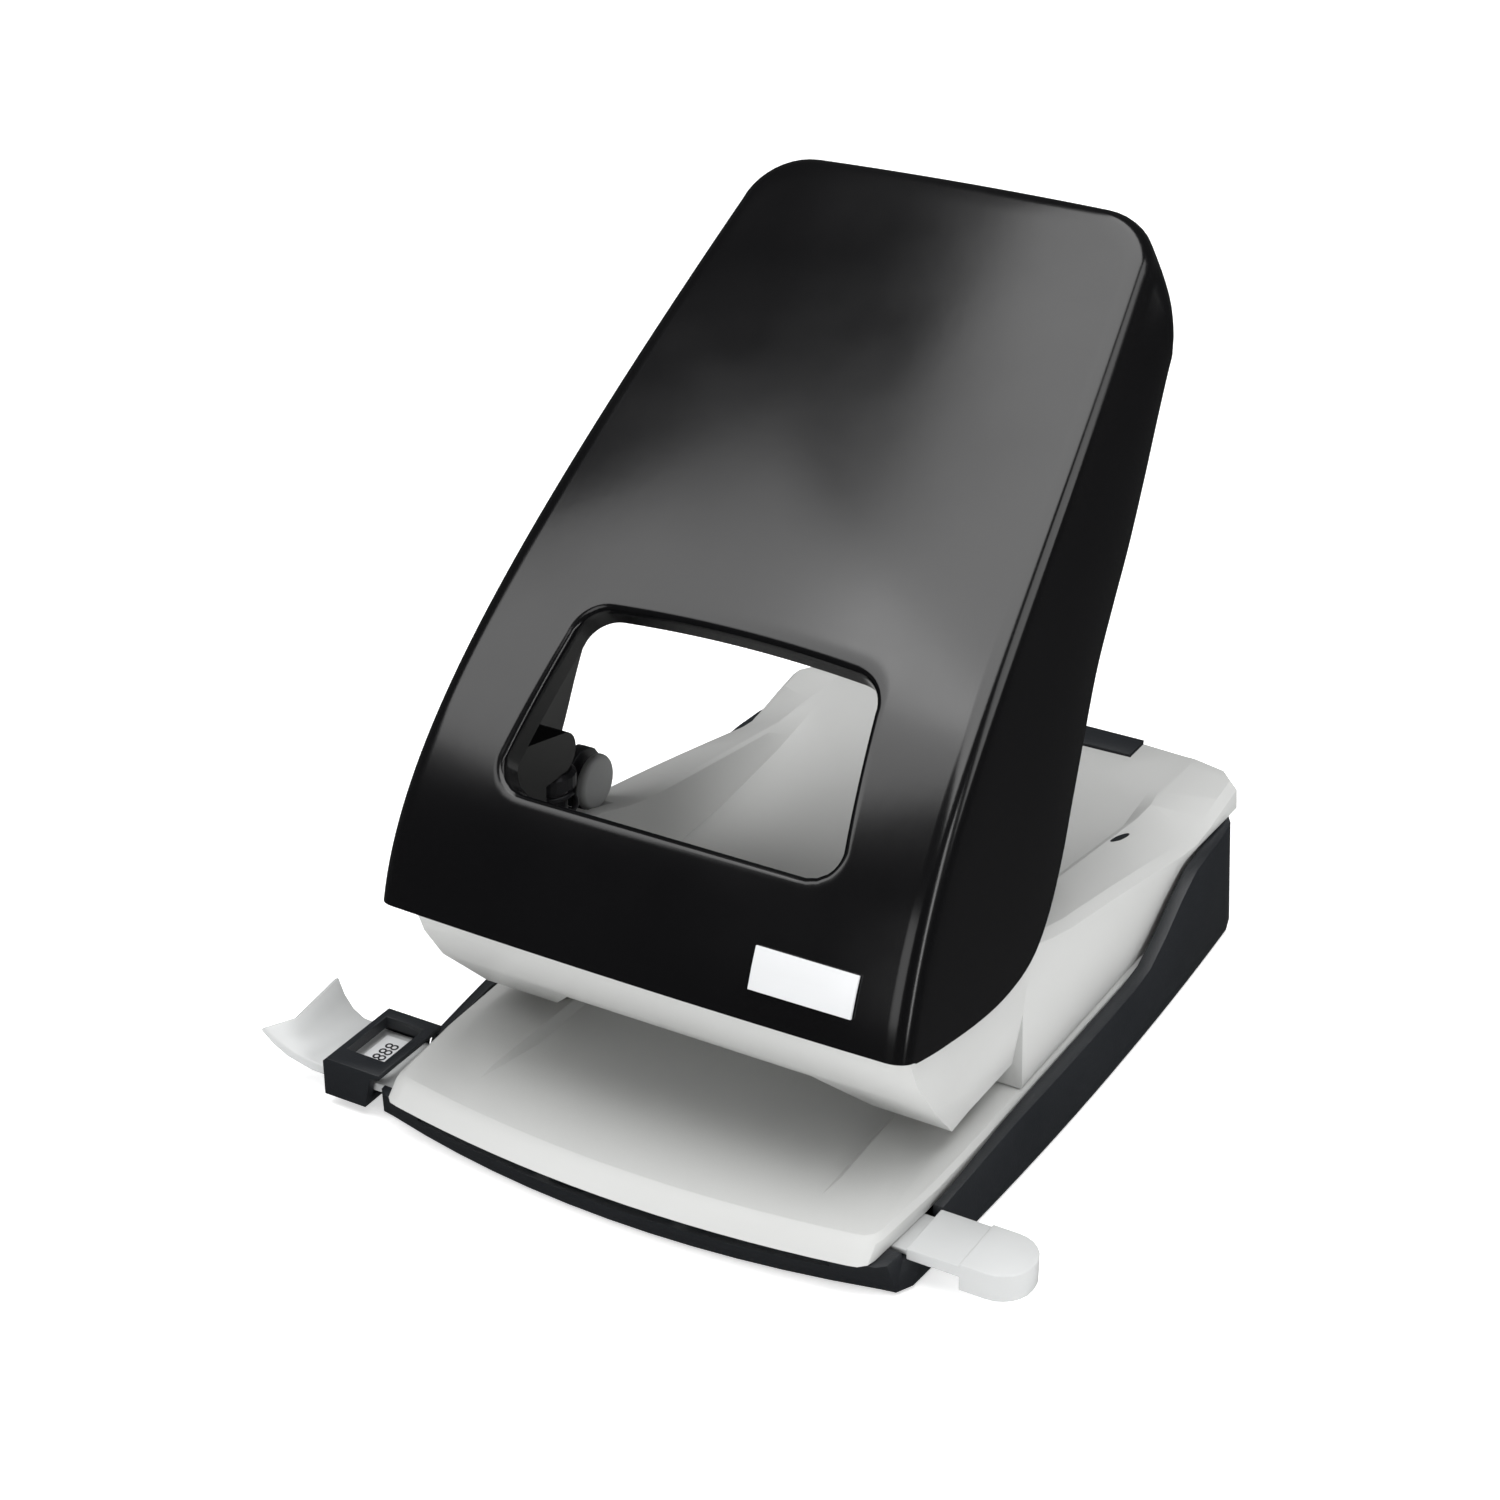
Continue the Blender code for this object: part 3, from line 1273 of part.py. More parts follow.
def handle_shell():
    """The pressed sheet: rounded edges, side flanges, a rounded tip and a window with a turned-in lip."""
    shell = sheet_shell("handle_shell", handle_surface(False), handle_surface(True))
    wide = window_outline(HANDLE_WINDOW_LIP_SHEET)
    narrow = window_outline(-1.0)
    shallow = HANDLE_SHEET * 0.5
    lip = loft(
        "lip",
        [
            [on_face(s, x, shallow) for s, x in wide],
            [on_face(s, x, HANDLE_WINDOW_LIP) for s, x in wide],
            [on_face(s, x, HANDLE_WINDOW_LIP) for s, x in narrow],
            [on_face(s, x, shallow) for s, x in narrow],
        ],
        closed=True,
    )
    join(shell, lip)
    outline = window_outline(0.0)
    opening = loft(
        "opening",
        [
            [on_face(s, x, -6.0) for s, x in outline],
            [on_face(s, x, HANDLE_WINDOW_LIP + 4.0) for s, x in outline],
        ],
    )
    cut(shell, opening)
    return shell


finish(handle_shell(), "black_paint", handle_axis, handle_axis["place"], 30.0)


def badge():
    """A blank name plate on the lower right of the face."""
    rings = []
    steps = 4
    for i in range(steps + 1):
        x = mix(BADGE_LEFT_X, BADGE_RIGHT_X, i / steps)
        rings.append(
            [
                on_face(BADGE_LOW, x, -GAP),
                on_face(BADGE_LOW, x, -GAP - BADGE_THICK),
                on_face((BADGE_LOW + BADGE_HIGH) * 0.5, x, -GAP - BADGE_THICK),
                on_face(BADGE_HIGH, x, -GAP - BADGE_THICK),
                on_face(BADGE_HIGH, x, -GAP),
                on_face((BADGE_LOW + BADGE_HIGH) * 0.5, x, -GAP),
            ]
        )
    return loft("name_badge", rings)


finish(badge(), "label", handle_axis, handle_axis["place"])


def convex_outline(points):
    """The convex outline of flat points, anticlockwise."""
    ordered = sorted(set(points))

    def chain(source):
        found = []
        for point in source:
            while len(found) > 1:
                (ax, ay), (bx, by) = found[-2:]
                if (bx - ax) * (point[1] - ay) - (by - ay) * (point[0] - ax) > SMALL:
                    break
                found.pop()
            found.append(point)
        return found[:-1]

    return chain(ordered) + chain(ordered[::-1])


def press_cam(name, side):
    """A solid arm from the axle to a round nose over the punch, with a web under the handle's face."""
    web = []
    for s in (CAM_WEB_LOW, (CAM_WEB_LOW + CAM_WEB_HIGH) * 0.5, CAM_WEB_HIGH):
        _, y, z = on_face(s, side * HOLE_SPACING * 0.5, HANDLE_SHEET + 2 * GAP + 0.5)
        web.append((y, z))
    outline = convex_outline(
        arc((AXLE_Y, AXLE_Z), CAM_HUB_RADIUS, 0.0, 345.0, 23)
        + arc((CAM_NOSE_Y, CAM_NOSE_Z), CAM_NOSE_RADIUS, 0.0, 345.0, 23)
        + web
    )
    centre = side * HOLE_SPACING * 0.5
    cam = prism(name, outline, "X", centre - CAM_HALF_WIDE, centre + CAM_HALF_WIDE)
    cut(cam, disc("bore", (AXLE_Y, AXLE_Z), AXLE_RADIUS + GAP, "X", centre - 10.0, centre + 10.0))
    head_room = block(
        "head_room",
        (centre - 10.0, PUNCH_Y - PIN_HEAD_RADIUS - 8 * GAP, AXLE_Z - 10.0),
        (centre + 10.0, PUNCH_Y + PIN_HEAD_RADIUS + 8 * GAP, PIN_HEAD_TOP_Z + GAP),
    )
    cut(cam, head_room)
    return cam


finish(press_cam("press_cam_left", -1.0), "black_paint", handle_axis, handle_axis["place"])
finish(press_cam("press_cam_right", 1.0), "black_paint", handle_axis, handle_axis["place"])

# ---------------------------------------------------------------- punches and springs


def coil(name, x, low, high):
    """A coil spring's wire from low to high about an upright axis at x."""
    rings = []
    steps = 10
    sides = 6
    total = int(SPRING_TURNS * steps)
    rise = high - low - 2.0 * SPRING_WIRE
    for i in range(total + 1):
        angle = 2.0 * math.pi * i / steps
        out = Vector((math.cos(angle), math.sin(angle), 0.0))
        centre = Vector((x, PUNCH_Y, low + SPRING_WIRE + rise * i / total)) + out * SPRING_RADIUS
        ring = []
        for side in range(sides):
            turn = 2.0 * math.pi * side / sides
            spot = centre + (out * math.cos(turn) + Vector((0.0, 0.0, math.sin(turn)))) * SPRING_WIRE
            ring.append(tuple(spot))
        rings.append(ring)
    return loft(name, rings)


for side_name, side in (("left", -1.0), ("right", 1.0)):
    pin_x = side * HOLE_SPACING * 0.5
    pin_axis = axis_empty(f"punch_slide_{side_name}", (pin_x, PUNCH_Y, PIN_TIP_Z), machine_axis)
    pin_radius = HOLE_DIAMETER * 0.5
    under_head = PIN_HEAD_TOP_Z - PIN_HEAD_THICK
    punch = turned_solid(
        f"punch_pin_{side_name}",
        [
            (pin_radius, PIN_TIP_Z),
            (pin_radius, under_head),
            (PIN_HEAD_RADIUS, under_head),
            (PIN_HEAD_RADIUS, PIN_HEAD_TOP_Z - 0.6),
            (PIN_HEAD_RADIUS - 0.8, PIN_HEAD_TOP_Z),
        ],
        pin_x,
        PUNCH_Y,
    )
    finish(punch, "steel", pin_axis, pin_axis["place"])
    spring_low = BUSH_SEAT_Z + GAP + BUSH_FLANGE_THICK + GAP
    spring = coil(f"return_spring_{side_name}", pin_x, spring_low, under_head - GAP)
    finish(spring, "steel", machine_axis, machine_axis["place"])
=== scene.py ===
# %% [markdown]
# A two-hole office punch: a tall black lever over a light grey cast frame, which
# stands in a black chip tray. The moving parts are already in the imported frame, so
# this lesson gives them their finish and rebuilds the ones that need finer shapes.
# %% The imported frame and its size
import math

import bmesh
import bpy
from mathutils import Matrix, Vector
from mathutils.bvhtree import BVHTree


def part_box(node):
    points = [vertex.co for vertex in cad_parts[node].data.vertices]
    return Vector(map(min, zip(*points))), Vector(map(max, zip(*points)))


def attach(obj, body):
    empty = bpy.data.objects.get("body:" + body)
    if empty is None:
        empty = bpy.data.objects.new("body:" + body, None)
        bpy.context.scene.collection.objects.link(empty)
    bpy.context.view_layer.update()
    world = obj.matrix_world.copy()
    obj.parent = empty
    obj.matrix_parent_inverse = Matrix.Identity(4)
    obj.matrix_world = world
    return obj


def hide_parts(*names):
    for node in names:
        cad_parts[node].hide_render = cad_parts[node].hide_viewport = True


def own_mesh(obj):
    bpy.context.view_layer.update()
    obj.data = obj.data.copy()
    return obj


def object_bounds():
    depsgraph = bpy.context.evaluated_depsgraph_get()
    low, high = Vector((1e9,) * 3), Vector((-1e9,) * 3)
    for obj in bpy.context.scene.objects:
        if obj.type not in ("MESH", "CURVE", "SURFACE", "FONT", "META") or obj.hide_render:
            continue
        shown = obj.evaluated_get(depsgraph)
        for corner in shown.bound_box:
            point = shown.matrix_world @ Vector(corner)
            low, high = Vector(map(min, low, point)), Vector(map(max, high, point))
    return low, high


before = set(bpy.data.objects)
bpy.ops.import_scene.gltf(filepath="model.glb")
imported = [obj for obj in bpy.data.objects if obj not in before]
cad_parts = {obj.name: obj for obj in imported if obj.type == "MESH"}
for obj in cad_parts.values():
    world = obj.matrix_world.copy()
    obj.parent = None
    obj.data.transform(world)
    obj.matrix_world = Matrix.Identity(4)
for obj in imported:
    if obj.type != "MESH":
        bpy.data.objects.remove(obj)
cad_low, cad_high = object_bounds()
MM = 0.001
print("packed size in mm:", [round(v / MM, 1) for v in cad_high - cad_low])

# %% [markdown]
# Every finish here is a Principled shader with a little unevenness in it, because
# paint, moulded plastic and metal are never perfectly even. One helper makes them
# all: a fine noise drives the bump, and a broad noise shifts colour and roughness.
# %% A helper for finishes


def make_finish(name, colour, rough, metallic=0.0, grain=900.0, grain_height=0.02, mottle=0.08, coat=0.0):
    material = bpy.data.materials.new(name)
    material.use_nodes = True
    nodes = material.node_tree.nodes
    links = material.node_tree.links
    shader = nodes["Principled BSDF"]
    shader.inputs["Metallic"].default_value = metallic
    shader.inputs["Coat Weight"].default_value = coat
    shader.inputs["Coat Roughness"].default_value = 0.06
    place = nodes.new("ShaderNodeTexCoord")
    broad = nodes.new("ShaderNodeTexNoise")
    broad.inputs["Scale"].default_value = 38.0
    broad.inputs["Detail"].default_value = 4.0
    fine = nodes.new("ShaderNodeTexNoise")
    fine.inputs["Scale"].default_value = grain
    fine.inputs["Detail"].default_value = 2.0
    links.new(place.outputs["Object"], broad.inputs["Vector"])
    links.new(place.outputs["Object"], fine.inputs["Vector"])
    tint = nodes.new("ShaderNodeMix")
    tint.data_type = "RGBA"
    tint.inputs["A"].default_value = (*[c * (1.0 - mottle) for c in colour], 1.0)
    tint.inputs["B"].default_value = (*[min(c * (1.0 + mottle), 1.0) for c in colour], 1.0)
    links.new(broad.outputs["Fac"], tint.inputs["Factor"])
    links.new(tint.outputs["Result"], shader.inputs["Base Color"])
    spread = nodes.new("ShaderNodeMapRange")
    spread.inputs["From Min"].default_value = 0.3
    spread.inputs["From Max"].default_value = 0.7
    spread.inputs["To Min"].default_value = rough * 0.85
    spread.inputs["To Max"].default_value = rough * 1.2
    links.new(broad.outputs["Fac"], spread.inputs["Value"])
    links.new(spread.outputs["Result"], shader.inputs["Roughness"])
    bump = nodes.new("ShaderNodeBump")
    bump.inputs["Distance"].default_value = grain_height * MM
    bump.inputs["Strength"].default_value = 1.0
    links.new(fine.outputs["Fac"], bump.inputs["Height"])
    links.new(bump.outputs["Normal"], shader.inputs["Normal"])
    return material


# %% [markdown]
# The lever is sprayed with glossy black enamel, the casting with a satin warm grey,
# and the tray is moulded in a fine-grained black plastic. Small metal parts keep
# their own colours.
# %% The finishes of this punch
black_enamel = make_finish("black_enamel", (0.0022, 0.0022, 0.0026), 0.17, grain=420.0, grain_height=0.004, mottle=0.15, coat=0.0)
grey_enamel = make_finish("grey_enamel", (0.60, 0.605, 0.595), 0.36, grain=1300.0, grain_height=0.012, mottle=0.02)
tray_plastic = make_finish("tray_plastic", (0.011, 0.013, 0.016), 0.42, grain=2600.0, grain_height=0.03, mottle=0.15)
grey_plastic = make_finish("pale_plastic", (0.60, 0.61, 0.61), 0.33, grain=1500.0, grain_height=0.008, mottle=0.02)
label_foil = make_finish("label_foil", (0.74, 0.75, 0.76), 0.35, grain=700.0, grain_height=0.004, mottle=0.02)
label_ink = make_finish("label_ink", (0.012, 0.012, 0.014), 0.45, mottle=0.1)
bright_steel = make_finish("bright_steel", (0.56, 0.56, 0.58), 0.28, metallic=1.0, grain=1800.0, grain_height=0.01)
dark_steel = make_finish("blackened_steel", (0.022, 0.022, 0.025), 0.4, metallic=0.6, grain=1800.0, grain_height=0.01)
bush_brass = make_finish("bush_brass", (0.62, 0.44, 0.2), 0.32, metallic=1.0, grain=1600.0, grain_height=0.01)
foot_rubber = make_finish("foot_rubber", (0.018, 0.018, 0.018), 0.85, grain=1500.0, grain_height=0.06, mottle=0.2)
button_grey = make_finish("button_grey", (0.42, 0.43, 0.43), 0.38, grain=1500.0, grain_height=0.01, mottle=0.03)
print("finishes:", len(bpy.data.materials))

# %% [markdown]
# The small parts that the CAD already shapes well keep their shape. Each gets a
# finish by filling its material slots.
# %% Finishes for the small parts
PLAIN_PARTS = {
    "rubber_foot_front_left": foot_rubber,
    "rubber_foot_front_right": foot_rubber,
    "rubber_foot_rear_left": foot_rubber,
    "rubber_foot_rear_right": foot_rubber,
    "tray_hinge_pin_left": bright_steel,
    "tray_hinge_pin_right": bright_steel,
    "handle_axle": bright_steel,
    "die_left": bright_steel,
    "die_right": bright_steel,
    "punch_bush_left": bush_brass,
    "punch_bush_right": bush_brass,
    "frame_screw_front_left": bright_steel,
    "frame_screw_front_right": bright_steel,
    "frame_screw_rear_left": bright_steel,
    "frame_screw_rear_right": bright_steel,
    "press_cam_left": black_enamel,
    "press_cam_right": black_enamel,
    "punch_pin_left": dark_steel,
    "punch_pin_right": dark_steel,
}


def coat_node(node, finish):
    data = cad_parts[node].data
    data.materials.clear()
    data.materials.append(finish)


for node, finish in PLAIN_PARTS.items():
    coat_node(node, finish)
print("parts kept as packed:", len(PLAIN_PARTS))

# %% [markdown]
# A piece made here is a mesh object that sits at the origin, rides on its body and
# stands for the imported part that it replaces.
# %% A helper that turns a bmesh into a piece


def as_piece(mesh, name, body, finish, slot, *nodes, smooth=None):
    data = bpy.data.meshes.new(name)
    mesh.to_mesh(data)
    mesh.free()
    piece = bpy.data.objects.new(name, data)
    bpy.context.scene.collection.objects.link(piece)
    data.materials.append(finish)
    data.shade_smooth()
    if smooth:
        data.set_sharp_from_angle(angle=math.radians(smooth))
    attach(piece, body)
    if nodes:
        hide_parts(*nodes)
    return piece


# %% [markdown]
# Cast and moulded parts have no knife edges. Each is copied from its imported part,
# the flat triangles are melted into whole faces, and the edges that are left get a
# small bevel, which catches the light as a real edge does.
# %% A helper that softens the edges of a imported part


def softened(node, name, body, finish, slot, width, steps=2, angle=28.0, flat=0.4):
    mesh = bmesh.new()
    mesh.from_mesh(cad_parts[node].data)
    bmesh.ops.remove_doubles(mesh, verts=mesh.verts[:], dist=0.004 * MM)
    bmesh.ops.dissolve_limit(mesh, angle_limit=math.radians(flat), verts=mesh.verts[:], edges=mesh.edges[:])
    sharp = [e for e in mesh.edges if len(e.link_faces) == 2 and e.calc_face_angle(0.0) > math.radians(angle)]
    bmesh.ops.bevel(
        mesh, geom=sharp, offset=width * MM, offset_type="OFFSET", segments=steps,
        profile=0.5, affect="EDGES", clamp_overlap=True, material=-1,
    )
    print(name, "edges softened:", len(sharp), "faces:", len(mesh.faces))
    return as_piece(mesh, name, body, finish, slot, node, smooth=34.0)


# %% The cast frame, the plate and the tray
softened("punch_frame", "cast_frame", "machine", grey_enamel, "frame_paint", 0.55)
softened("base_plate", "paper_plate", "machine", grey_enamel, "frame_paint", 0.35)
softened("chip_tray", "chip_tub", "tray", tray_plastic, "tray_plastic", 0.3)

# %% [markdown]
# The guide's small mouldings are softened in the same way, with a finer radius.
# %% The guide's mouldings
softened("format_window_frame", "format_bridge", "tray", tray_plastic, "tray_plastic", 0.3)
softened("guide_bar", "paper_rule", "guide", grey_plastic, "grey_plastic", 0.25)
softened("end_stop", "paper_stop", "guide", grey_plastic, "grey_plastic", 0.3, angle=35.0)
softened("format_label", "format_card", "guide", label_foil, "label_paper", 0.1)
softened("release_tab", "push_tab", "release", grey_plastic, "grey_plastic", 0.45)
softened("lock_plate", "lock_bracket", "machine", tray_plastic, "tray_plastic", 0.3)
softened("lock_button", "lock_knob", "lock", button_grey, "grey_plastic", 0.3)
softened("name_badge", "blank_badge", "handle", label_foil, "label_paper", 0.15, angle=40.0)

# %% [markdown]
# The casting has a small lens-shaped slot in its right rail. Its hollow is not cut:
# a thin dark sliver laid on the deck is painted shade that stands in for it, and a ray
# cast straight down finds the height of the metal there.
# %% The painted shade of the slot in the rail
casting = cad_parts["punch_frame"].data
tree = BVHTree.FromPolygons([v.co for v in casting.vertices], [tuple(f.vertices) for f in casting.polygons])
slot_shade_mesh = bmesh.new()
slot_shade_made = bmesh.ops.create_circle(slot_shade_mesh, segments=24, radius=1.0, cap_ends=True)
bmesh.ops.scale(slot_shade_mesh, verts=slot_shade_made["verts"], vec=(0.55 * MM, 3.4 * MM, 1.0))
bmesh.ops.rotate(slot_shade_mesh, verts=slot_shade_made["verts"], cent=(0, 0, 0), matrix=Matrix.Rotation(math.radians(-8.0), 3, "Z"))
for vert in slot_shade_made["verts"]:
    vert.co += Vector((41.2, 81.0, 0.0)) * MM
    spot = tree.ray_cast(Vector((vert.co.x, vert.co.y, 0.1)), Vector((0.0, 0.0, -1.0)))[0]
    vert.co.z = spot.z - 0.05 * MM
bmesh.ops.recalc_face_normals(slot_shade_mesh, faces=slot_shade_mesh.faces[:])
if slot_shade_mesh.faces[:][0].normal.z < 0.0:
    bmesh.ops.reverse_faces(slot_shade_mesh, faces=slot_shade_mesh.faces[:])
raised = bmesh.ops.extrude_face_region(slot_shade_mesh, geom=slot_shade_mesh.faces[:])
bmesh.ops.translate(slot_shade_mesh, verts=[v for v in raised["geom"] if isinstance(v, bmesh.types.BMVert)], vec=(0.0, 0.0, 0.09 * MM))
bmesh.ops.recalc_face_normals(slot_shade_mesh, faces=slot_shade_mesh.faces[:])
print("slot faces:", len(slot_shade_mesh.faces))
# The sliver is painted shade: a black finish put where the slot's shaded hollow would be.
as_piece(slot_shade_mesh, "painted_slot_shade", "machine", tray_plastic, "frame_paint", smooth=30.0)

# %% [markdown]
# The lever is pressed from one sheet of steel. A press-shop cuts a flat blank, with
# its window, and then folds it. Here the finished shape is built directly: rings of
# points run from the window's turned-in lip over the face to the folded sides, each ring
# extruded from the one before, and every point is laid on the lever's curved face.
# %% The lever's curve
CURVE_START = (-29.3, 43.8)
CURVE_LENGTH = 161.0
CROWN = 1.2


def lever_curve():
    found = []
    y, z = CURVE_START
    for step in range(int(CURVE_LENGTH) + 6):
        slope = math.radians(34.5 + 42.0 * math.exp(-((step / 33.0) ** 1.1)))
        found.append((y, z, slope))
        y += math.cos(slope)
        z += math.sin(slope)
    return found


CURVE = lever_curve()


def mix(a, b, t):
    return a + (b - a) * t


def curve_at(s):
    place = min(max(s, 0.0), len(CURVE) - 1.001)
    index = int(place)
    return tuple(mix(a, b, place - index) for a, b in zip(CURVE[index], CURVE[index + 1]))


def lever_half(z):
    rise = z - 43.0
    return 52.4 - 0.020 * rise - 0.0009 * rise * rise


def on_lever(s, x, depth=0.0):
    y, z, slope = curve_at(s)
    out = CROWN * (1.0 - min(abs(x) / lever_half(z), 1.0) ** 2) - depth
    return Vector((x, y - math.sin(slope) * out, z + math.cos(slope) * out))


print("lever tip in mm:", [round(v, 1) for v in on_lever(CURVE_LENGTH, 0.0)])

# %% [markdown]
# The window and the face's border are sampled as loops with equally many points,
# corner against corner, so that the rings between them run without a twist.
# %% The window's and the border's outlines
EDGE_ROUND = 3.5
TIP_CORNER = 8.5
STRAIGHT_END = CURVE_LENGTH - 12.0
SIDE_POINTS, CORNER_POINTS, TOP_POINTS, BOTTOM_POINTS = 60, 10, 14, 16


def spaced(path, count):
    """Points at even steps along a path, the last one left out."""
    lengths = [0.0]
    for a, b in zip(path, path[1:]):
        lengths.append(lengths[-1] + math.dist(a, b))
    found = []
    for i in range(count):
        want = lengths[-1] * i / count
        k = max(j for j in range(len(path) - 1) if lengths[j] <= want)
        t = (want - lengths[k]) / max(lengths[k + 1] - lengths[k], 1e-9)
        found.append((mix(path[k][0], path[k + 1][0], t), mix(path[k][1], path[k + 1][1], t)))
    return found


def bow(centre, radius, start, end, steps=12):
    found = []
    for i in range(steps + 1):
        turn = math.radians(mix(start, end, i / steps))
        found.append((centre[0] + radius * math.cos(turn), centre[1] + radius * math.sin(turn)))
    return found


def window_loop(grow):
    corner = 5.5 + grow
    low = 25.5 - grow + corner
    high = 60.5 + grow - corner
    wide_low = 33.0 + grow - corner
    wide_high = 29.5 + grow - corner
    lower = bow((low, wide_low), corner, 180.0, 90.0)
    upper = bow((high, wide_high), corner, 90.0, 0.0)
    bottom = [(low - corner, 0.0)] + lower[:7]
    side = lower[6:] + [upper[0]]
    top = [(high + corner, wide_high), (high + corner, 0.0)]
    half = (
        spaced(bottom, BOTTOM_POINTS) + spaced(side, SIDE_POINTS) + spaced(upper, CORNER_POINTS) + spaced(top, TOP_POINTS)
    )
    half.append(top[-1])
    full = half + [(s, -x) for s, x in half[-2:0:-1]]
    found = []
    for s, x in full:
        share = min(max((s - low) / (high - low), 0.0), 1.0)
        found.append((s + 1.5 * (1.0 - (x / 29.5) ** 2) * share, x))
    return found


def border_loop():
    side = []
    for i in range(151):
        s = STRAIGHT_END * i / 150.0
        side.append((s, lever_half(curve_at(s)[1]) - EDGE_ROUND))
    edge = side[-1][1]
    upper = bow((STRAIGHT_END, edge - TIP_CORNER), TIP_CORNER, 90.0, 0.0)
    top = [upper[-1], (upper[-1][0], 0.0)]
    bottom = [(0.0, 0.0), side[0]]
    half = (
        spaced(bottom, BOTTOM_POINTS) + spaced(side, SIDE_POINTS) + spaced(upper, CORNER_POINTS) + spaced(top, TOP_POINTS)
    )
    half.append(top[-1])
    return half + [(s, -x) for s, x in half[-2:0:-1]]


border = border_loop()
print("points in each ring:", len(border), len(window_loop(0.0)))

# %% [markdown]
# The sides are folded down to a free edge that drops in a belly round the pivot and
# then climbs straight to the tip. A smooth curve through a few places describes it.
# %% The folded sides' free edge
FREE_EDGE = [
    (-25.3, 42.5), (-16.7, 40.3), (-2.0, 37.6), (9.0, 37.0), (18.0, 38.9), (24.0, 44.4), (29.2, 53.2), (33.4, 62.6),
    (38.6, 73.0), (44.4, 83.2), (51.6, 92.2), (58.4, 100.2), (65.6, 109.6), (73.0, 119.6), (79.6, 128.0),
]


def free_edge(t):
    place = min(max(t, 0.0), 1.0) * (len(FREE_EDGE) - 1)
    i = min(int(place), len(FREE_EDGE) - 2)
    u = place - i
    spots = [FREE_EDGE[k] for k in (max(i - 1, 0), i, i + 1, min(i + 2, len(FREE_EDGE) - 1))]
    found = []
    for a, b, c, d in zip(*spots):
        rise_b, rise_c = (c - a) * 0.5, (d - b) * 0.5
        found.append(
            (2 * u**3 - 3 * u**2 + 1) * b + (u**3 - 2 * u**2 + u) * rise_b + (3 * u**2 - 2 * u**3) * c + (u**3 - u**2) * rise_c
        )
    return found


# %% The lever's rings


def start_ring(mesh, places):
    made = bmesh.ops.create_circle(mesh, segments=len(places), radius=1.0, cap_ends=False)
    ring = list(made["verts"])
    for vert, place in zip(ring, places):
        vert.co = place * MM
    return ring


def grow_ring(mesh, ring, places, closed=True):
    """Extrudes a ring, or a chain, and puts its new points at the places given."""
    pairs = list(zip(ring, ring[1:] + (ring[:1] if closed else [])))
    if not closed:
        pairs = pairs[: len(ring) - 1]
    edges = [mesh.edges.get(pair) for pair in pairs]
    made = bmesh.ops.extrude_edge_only(mesh, edges=edges)
    new = {v for v in made["geom"] if isinstance(v, bmesh.types.BMVert)}
    following = []
    for vert, place in zip(ring, places):
        other = next(e.other_vert(vert) for e in vert.link_edges if e.other_vert(vert) in new)
        other.co = place * MM
        following.append(other)
    return following


def fold_plan():
    """For each border point that is folded: (s, x, outward s, outward x, side share, corner share)."""
    first = BOTTOM_POINTS
    last = len(border) - BOTTOM_POINTS
    plan = []
    for i in range(first, last + 1):
        s, x = border[i]
        sign = 1.0 if x >= 0.0 else -1.0
        edge = lever_half(curve_at(STRAIGHT_END)[1]) - EDGE_ROUND - TIP_CORNER
        if s <= STRAIGHT_END + 1e-6:
            plan.append((s, x, 0.0, sign, s / STRAIGHT_END, 0.0))
        elif abs(x) >= edge - 1e-6:
            turn = math.atan2(s - STRAIGHT_END, abs(x) - edge)
            plan.append((s, x, math.sin(turn), sign * math.cos(turn), 1.0, turn / (math.pi / 2)))
        else:
            plan.append((s, x, 1.0, 0.0, 1.0, 1.0))
    return first, last, plan


